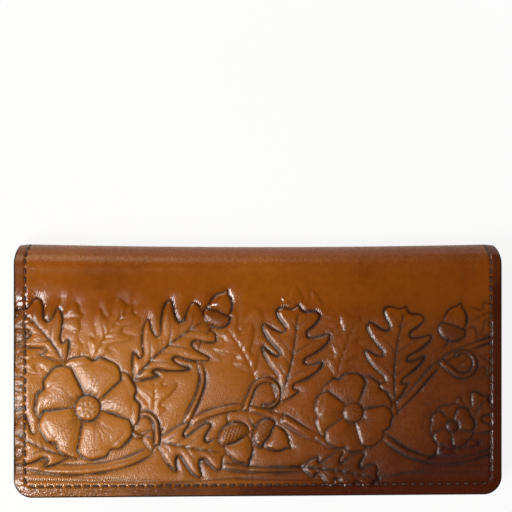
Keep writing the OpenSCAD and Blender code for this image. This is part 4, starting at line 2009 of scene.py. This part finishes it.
@dataclass
class CardColumn:
    """Two card slots and the windowed slot, stepped one over the other on the left of the front half."""

    finish: Material
    vinyl: Material
    window_low: Point = (-72.25, -30.75)
    window_high: Point = (2.75, -0.5)
    sheet_low: Point = (-75.5, -34.0)
    sheet_high: Point = (6.0, 2.75)
    corner: float = 4.0
    sheet_top: float = 6.9
    sheet_under: float = 6.62
    insets: tuple[float, ...] = (-0.3, 0.0, 0.3, 0.6, 1.0)

    def leather(self, i: int) -> float:
        """Thickness of a slot's leather."""
        return INNER.frame if i == 2 else INNER.card

    def top(self, i: int) -> HeightAt:
        """Face of a slot's leather, as a rule for its height.

        Args:
            i: number of the slot, from the rearmost.

        Returns:
            A function of x and y.
        """
        t = self.leather(i)
        gap = INNER.frame_gap if i == 2 else INNER.card_gap
        pocket = INNER.pocket + INNER.gap
        wide = INNER.card * (i + 1)

        def face(x: Array, y: Array) -> Array:
            """Height of the face at x and y."""
            border = INNER.sewn + INNER.card * i + t
            seam = INNER.lined + pocket + INNER.card * i + t
            raised = INNER.lined + pocket + (INNER.card + INNER.card_gap) * i + gap + t
            inward = INNER.raised(sewn_inset(x, y), INNER.seam - wide)
            over = ease((INNER.cards_end + wide - x + 0.1) / INNER.raise_width)
            crease = 0.08 * bell(INNER.slot_mouth(i) - 1.8 - y, 0.35)
            return border + inward * (seam - border) + inward * over * (raised - seam) - crease

        return face

    def rounded(self, low: Point, high: Point) -> Array:
        """Outline of a rectangle with round corners, anticlockwise."""
        (x0, y0), (x1, y1), r = low, high, self.corner
        centres = ((x0 + r, y0 + r), (x1 - r, y0 + r), (x1 - r, y1 - r), (x0 + r, y1 - r))
        return np.vstack([arc_points(c, r, a, a + 90, 8) for c, a in zip(centres, (180, 270, 0, 90))])

    def build(self) -> None:
        """Builds the slots, the window's frame and its clear sheet."""
        for i, name in enumerate(("card_slot_1", "card_slot_2", "window_frame")):
            mouth = INNER.slot_mouth(i)
            outline = sewn_outline(np.array([(INNER.slots_end, mouth), (-FORM.half, mouth)]), INNER.slots_end)
            face, t = self.top(i), self.leather(i)
            holes = [self.rounded(self.window_low, self.window_high)] if i == 2 else []
            piece = cut_sheet(
                f"{name}_leather",
                Half.FRONT,
                outline,
                face,
                lambda x, y, face=face, t=t: face(x, y) - t + HAIR,
                self.finish,
                "pocket_leather",
                holes,
                [INNER.seam - INNER.card * (i + 1) + inset for inset in self.insets],
            )
            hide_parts(name)
            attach(piece, Half.FRONT.value)
        sheet = cut_sheet(
            "window_vinyl",
            Half.FRONT,
            self.rounded(self.sheet_low, self.sheet_high),
            lambda x, y: self.sheet_top + 0.03 * np.sin(x / 9.0) * np.sin(y / 7.0),
            lambda x, y: np.full(x.shape, self.sheet_under),
            self.vinyl,
            "clear_vinyl",
            round_over=0.08,
        )
        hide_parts("window_sheet")
        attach(sheet, Half.FRONT.value)


def folded_strap(
    name: str, centre: Array, thickness: float, half_length: float, finish: Material, slot: str
) -> Piece:
    """Makes a strap of even thickness that follows a line in Y and Z and has a length along X.

    Args:
        name: the piece's name.
        centre: points (y, z) of the line half-way through its thickness.
        thickness: its thickness.
        half_length: half of its length along X.
        finish: its material.
        slot: its material slot; not used.

    Returns:
        The new object.
    """
    slope = np.gradient(centre, axis=0)
    slope /= np.linalg.norm(slope, axis=1)[:, None]
    normal = np.stack([-slope[:, 1], slope[:, 0]], -1)
    r, t, end = 0.2, thickness / 2, half_length
    ends = [k * (end - q) for k in (-1, 1) for q in (0.5, 0.35, r)]
    across = np.unique(np.r_[np.linspace(-end + 1, end - 1, 12), ends])
    ring = [(x, t) for x in across]
    ring += [(end - 0.06, t - 0.06), (end, t - r), (end, r - t), (end - 0.06, 0.06 - t)]
    ring += [(-x, -h) for x, h in ring]
    ring_x, ring_h = np.array(ring).T
    along = np.broadcast_to(ring_x, (len(centre), len(ring)))
    y, z = (centre[:, k : k + 1] + normal[:, k : k + 1] * ring_h for k in (0, 1))
    points = np.stack([along, y, z], -1)
    n, m = points.shape[:2]
    number = np.arange(n * m).reshape(n, m)
    after = np.roll(number, -1, axis=1)
    faces = list(np.stack([v.ravel() for v in (number[:-1], number[1:], after[1:], after[:-1])], -1))
    faces += [number[0], number[-1, ::-1]]
    flat = points.reshape(-1, 3)
    edge = np.broadcast_to(np.abs(ring_x) > half_length - 0.25, (n, m)).copy()
    edge[[0, -1]] = True
    volume = 0.0
    for f in faces:
        a = flat[f[0]]
        for p, q in zip(f[1:-1], f[2:]):
            volume += float(a @ np.cross(flat[p], flat[q]))
    if volume < 0:
        faces = [f[::-1] for f in faces]
    return new_piece(name, flat, faces, finish, {"rim": edge.astype(float).ravel()})


@dataclass
class PenLoop:
    """The strap folded round a pen, with its two ends sewn together as a tab."""

    finish: Material
    centre: Point = (32.6, 9.8)
    bore: float = 4.0
    thickness: float = 0.8
    half_length: float = 16.0
    tab_y: float = 24.6

    def build(self) -> None:
        """Builds the loop."""
        y, z = self.centre
        r, t = self.bore + self.thickness / 2, self.thickness
        inner = FORM.thickness - INNER.lined
        start = np.stack([np.linspace(self.tab_y, y, 14), np.full(14, inner - t / 2 - HAIR)], -1)
        ring = np.array([y, z]) + r * on_circle(np.radians(np.linspace(90, -218, 60)))
        joint = ring[-1]
        under = [(joint[0] - 0.9, inner - 1.62 * t), (28.0, inner - 1.52 * t), (self.tab_y, inner - 1.5 * t)]
        back = bend_line([joint, *under], 16)
        line = np.vstack([start[:-1], ring, back[1:]])
        piece = folded_strap("pen_loop_strap", line, t, self.half_length, self.finish, "pocket_leather")
        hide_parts("pen_loop")
        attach(piece, Half.FRONT.value)


@dataclass
class Divider:
    """The clear leaf between the checks, sewn into a doubled strip across the rear half."""

    strip_finish: Material
    vinyl: Material
    half_length: float = 76.0
    strip_y: Point = (24.6, 29.6)
    heights: Point = (2.4, 4.6)
    strip_thickness: float = 0.8
    leaf_y: Point = (-37.45, 24.55)
    leaf_height: float = 4.56
    leaf_thickness: float = 0.34
    leaf_corner: float = 6.0

    def strip_line(self) -> Array:
        """Line in Y and Z half-way through the folded strip, from its upper edge to its lower.

        Returns:
            The points, one row each.
        """
        t = self.strip_thickness
        (low, high), (edge, fold) = self.heights, self.strip_y
        r = (high - low - t) / 2
        centre = np.array([fold - (high - low) / 2, (low + high) / 2])
        turn = centre + r * on_circle(np.radians(np.linspace(90, -90, 14)))
        upper = np.stack([np.linspace(edge, centre[0], 8), np.full(8, high - t / 2)], -1)
        lower = np.stack([np.linspace(centre[0], edge, 8), np.full(8, low + t / 2 + HAIR)], -1)
        return np.vstack([upper[:-1], turn, lower[1:]])

    def leaf_face(self, x: Array, y: Array) -> Array:
        """Height of the leaf at x and y, with its faint waves."""
        calm = ease((self.leaf_y[1] - y) / 12.0)
        return self.leaf_height + 0.04 * calm * np.sin(x / 13.0 + y / 31.0) * np.cos(y / 17.0)

    def build(self) -> None:
        """Builds the strip and the leaf."""
        size = (self.strip_thickness, self.half_length)
        strip = folded_strap(
            "divider_strip_leather", self.strip_line(), *size, self.strip_finish, "pocket_leather"
        )
        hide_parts("divider_strip")
        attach(strip, Half.REAR.value)
        w, r, (low, high) = self.half_length, self.leaf_corner, self.leaf_y
        corners = [arc_points((-w + r, low + r), r, 180, 270), arc_points((w - r, low + r), r, 270, 360)]
        leaf = cut_sheet(
            "divider_vinyl",
            Half.REAR,
            np.vstack([*corners, [(w, high), (-w, high)]]),
            self.leaf_face,
            lambda x, y: self.leaf_face(x, y) - self.leaf_thickness,
            self.vinyl,
            "clear_vinyl",
            round_over=0.08,
        )
        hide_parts("divider_leaf")
        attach(leaf, "divider_leaf")


@dataclass
class Sewing:
    """All the thread: round the rim outside and inside, beside the card slots, on the loop and on the strip.

    A row of the card column has the Y of its two ends and its depth below the front; the two other rows have
    half of their length, their Y, and their depth or height.
    """

    worker: ThreadWorker
    sunk: float = 0.16
    column_rows: tuple[Triple, ...] = ((20.8, 15.2, 4.5), (12.8, 7.2, 5.1), (4.8, -41.0, 5.8))
    loop_row: Triple = (15.0, 26.4, 4.02)
    strip_row: Triple = (75.0, 26.6, 4.62)

    def rim(self) -> None:
        """Sews the rim, one piece for each length of the leather and of the lining."""
        for side, zones in (("outer", leather_zones()), ("inner", lining_zones())):
            for zone in zones:
                lines = [self.rim_line(run, side) for run in SEAM.runs(zone) if len(run) > 1]
                piece = self.worker.sew(f"{zone.name}_{side}_thread", lines)
                zone.attach(piece)

    def rim_line(self, run: Array, side: str) -> tuple[Array, Array]:
        """Line of one run of stitches on the outer leather or on the layers inside, and the way it faces.

        Args:
            run: distances of the run's stitches along the seam.
            side: outer or inner.

        Returns:
            The points of the line, and the way each faces.
        """
        t = np.linspace(run[0], run[-1], max(int((run[-1] - run[0]) * 3), 2))
        x, s = SEAM.at(t).T
        outward = FORM.outward(s)
        if side == "outer":
            return FORM.place(x, s, -self.sunk), outward
        y = FORM.outer_y(s)
        flat = (s < FORM.panel) | (s > FORM.total - FORM.panel)
        top = np.where(flat & (y < INNER.mouth), INNER.sewn, INNER.lined)
        top = np.where(flat & (s < FORM.panel), INNER.border(x, y), top)
        return FORM.place(x, s, -top - 0.02), -outward

    def inner_rows(self) -> None:
        """Sews the card column's inner side, the loop's tab and the divider's strip."""
        top = FORM.thickness
        x = (INNER.cards_end + INNER.slots_end) / 2 + 0.6
        seams = (((x, a, top - w - 0.03), (x, b, top - w - 0.03)) for a, b, w in self.column_rows)
        column = self.worker.sew("card_column_thread", [straight_seam(*ends, (0, 0, -1)) for ends in seams])
        w, y, z = self.loop_row
        tab = straight_seam((-w, y, top - z), (w, y, top - z), (0, 0, -1))
        loop = self.worker.sew("pen_loop_thread", [tab])
        w, y, z = self.strip_row
        strip = self.worker.sew("divider_thread", [straight_seam((-w, y, z), (w, y, z), (0, 0, 1))])
        for piece, half in ((column, Half.FRONT), (loop, Half.FRONT), (strip, Half.REAR)):
            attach(piece, half.value)


@dataclass(frozen=True)
class Lamp:
    """A soft rectangular lamp that faces the cover."""

    name: str
    place: Triple
    size: Point
    power: float
    colour: Colour = (1.0, 0.97, 0.94)

    def hang(self) -> None:
        """Hangs the lamp."""
        data = bpy.data.lights.new(self.name, "AREA")
        data.shape, data.size, data.size_y = "RECTANGLE", *self.size
        data.energy, data.color = self.power, self.colour
        lamp = in_scene(self.name, data)
        lamp.location = self.place
        way = Vector((0, 0, 0.01)) - Vector(self.place)
        lamp.rotation_euler = way.to_track_quat("-Z", "Y").to_euler()


@dataclass
class Studio:
    """Pale floor, soft lamps and the camera over the front.

    Its lengths are in metres, except the bowl's, which are in millimetres: radius and height of each ring.
    """

    view_width: float = 0.1793
    distance: float = 0.62
    aim: Triple = (-0.0013, 0.0400, 0.017)
    lean: float = 3.2
    sensor: float = 36.0
    bowl: tuple[Point, ...] = ((60.0, 0.0), (4000.0, 0.0), (4300.0, 200.0), (4300.0, 800.0))
    bowl_sides: int = 64
    bowl_drop: float = 0.25
    lamps: tuple[Lamp, ...] = (
        Lamp("key_lamp", (-0.25, -0.17, 0.62), (0.17, 0.17), 2.9),
        Lamp("side_lamp", (-0.58, -0.30, 0.50), (0.44, 0.44), 3.2),
        Lamp("back_lamp", (-0.42, 0.95, 0.66), (0.9, 0.56), 6.4, (1.0, 0.83, 0.62)),
    )

    def floor(self) -> None:
        """Lays a white floor that keeps the cover's shadow and rises to a wall far round it."""
        n = self.bowl_sides
        circle = on_circle(np.linspace(0, 2 * np.pi, n, endpoint=False))
        rings = [np.c_[r * circle, np.full(n, z - self.bowl_drop)] for r, z in self.bowl]
        faces = [list(range(n))]
        for low in range(0, n * (len(rings) - 1), n):
            faces += [[low + k, low + n + k, low + n + (k + 1) % n, low + (k + 1) % n] for k in range(n)]
        mesh = bpy.data.meshes.new("floor")
        mesh.from_pydata((np.vstack(rings) * MM).tolist(), [], faces)
        piece = in_scene("floor", mesh)
        mesh.materials.append(self.floor_finish())

    def floor_finish(self) -> Material:
        """White that the camera sees as light, darker close to the cover, where its shadow falls."""
        material, desk, shader = new_material("white_floor")
        tone = desk.blend(desk.noise(desk.place(), 3.0, 2.0), (0.80, 0.80, 0.80), (0.83, 0.83, 0.83))
        desk.feed(shader, {"Base Color": tone, "Roughness": 0.9, "Specular IOR Level": 0.1})
        path = desk.add("ShaderNodeLightPath").outputs
        seen = desk.math("MAXIMUM", path["Is Camera Ray"], path["Is Transmission Ray"])
        glow = desk.add("ShaderNodeEmission", {"Color": (1.0, 1.0, 1.0, 1.0), "Strength": 1.0})
        far = desk.add("ShaderNodeVectorMath", {0: desk.place()}, operation="LENGTH").outputs["Value"]
        direct = desk.times(seen, desk.span(far, 0.10, 0.25, (0.90, 1.0)))
        mirrored = desk.times(path["Is Glossy Ray"], desk.span(far, 0.10, 0.40))
        share = desk.math("MAXIMUM", direct, mirrored)
        mixed = desk.add("ShaderNodeMixShader", {0: share, 1: shader.outputs[0], 2: glow.outputs[0]})
        desk.feed(material.node_tree.nodes["Material Output"], {"Surface": mixed.outputs[0]})
        return material

    def build(self) -> None:
        """Sets up the floor, the lamps, the surroundings and the camera."""
        self.floor()
        for lamp in self.lamps:
            lamp.hang()
        scene = bpy.context.scene
        scene.world = bpy.data.worlds.new("studio")
        scene.world.use_nodes = True
        back = scene.world.node_tree.nodes["Background"]
        back.inputs["Color"].default_value = (1.0, 1.0, 1.0, 1.0)
        back.inputs["Strength"].default_value = 0.06
        scene.view_settings.view_transform = "Standard"
        data = bpy.data.cameras.new("camera")
        data.sensor_width = self.sensor
        data.lens = self.sensor * self.distance / self.view_width
        data.clip_start, data.clip_end = 0.02, 10.0
        camera = in_scene("camera", data)
        tilt = math.radians(self.lean)
        camera.location = Vector(self.aim) + Vector((-math.sin(tilt), 0.0, math.cos(tilt))) * self.distance
        camera.rotation_euler = (0.0, -tilt, 0.0)
        scene.camera = camera


def main() -> None:
    """Builds the whole cover and its studio."""
    logging.basicConfig(level=logging.INFO, format="%(name)s: %(message)s")
    GROUPS["grain"], GROUPS["edge"] = grain_group(), edge_group()
    tan = TooledFinish(
        "outer_leather_tan", light=(0.295, 0.083, 0.002), middle=(0.245, 0.062, 0.0015),
        dark=(0.190, 0.046, 0.001), bump=0.16, rough=(0.245, 0.30), specular=0.48,
    ).make()
    brown = LeatherFinish(
        "pocket_leather_brown", light=(0.235, 0.090, 0.030), middle=(0.20, 0.073, 0.023),
        dark=(0.16, 0.056, 0.017), bump=0.3,
    ).make()
    dark = LeatherFinish(
        "lining_leather_dark", light=(0.155, 0.066, 0.027), middle=(0.13, 0.053, 0.021),
        dark=(0.105, 0.042, 0.016), grains=2300.0, rough=(0.55, 0.7), specular=0.3,
    ).make()
    vinyl = VinylFinish().make()
    thread = ThreadFinish().make()
    leather = press_front()
    OuterLeather(tan).build(leather)
    Lining(dark).build()
    Pockets(brown).build()
    CardColumn(brown, vinyl).build()
    PenLoop(brown).build()
    Divider(brown, vinyl).build()
    sewing = Sewing(ThreadWorker(thread_tree(), thread))
    sewing.rim()
    sewing.inner_rows()
    Studio().build()


if __name__ == "__main__":
    main()
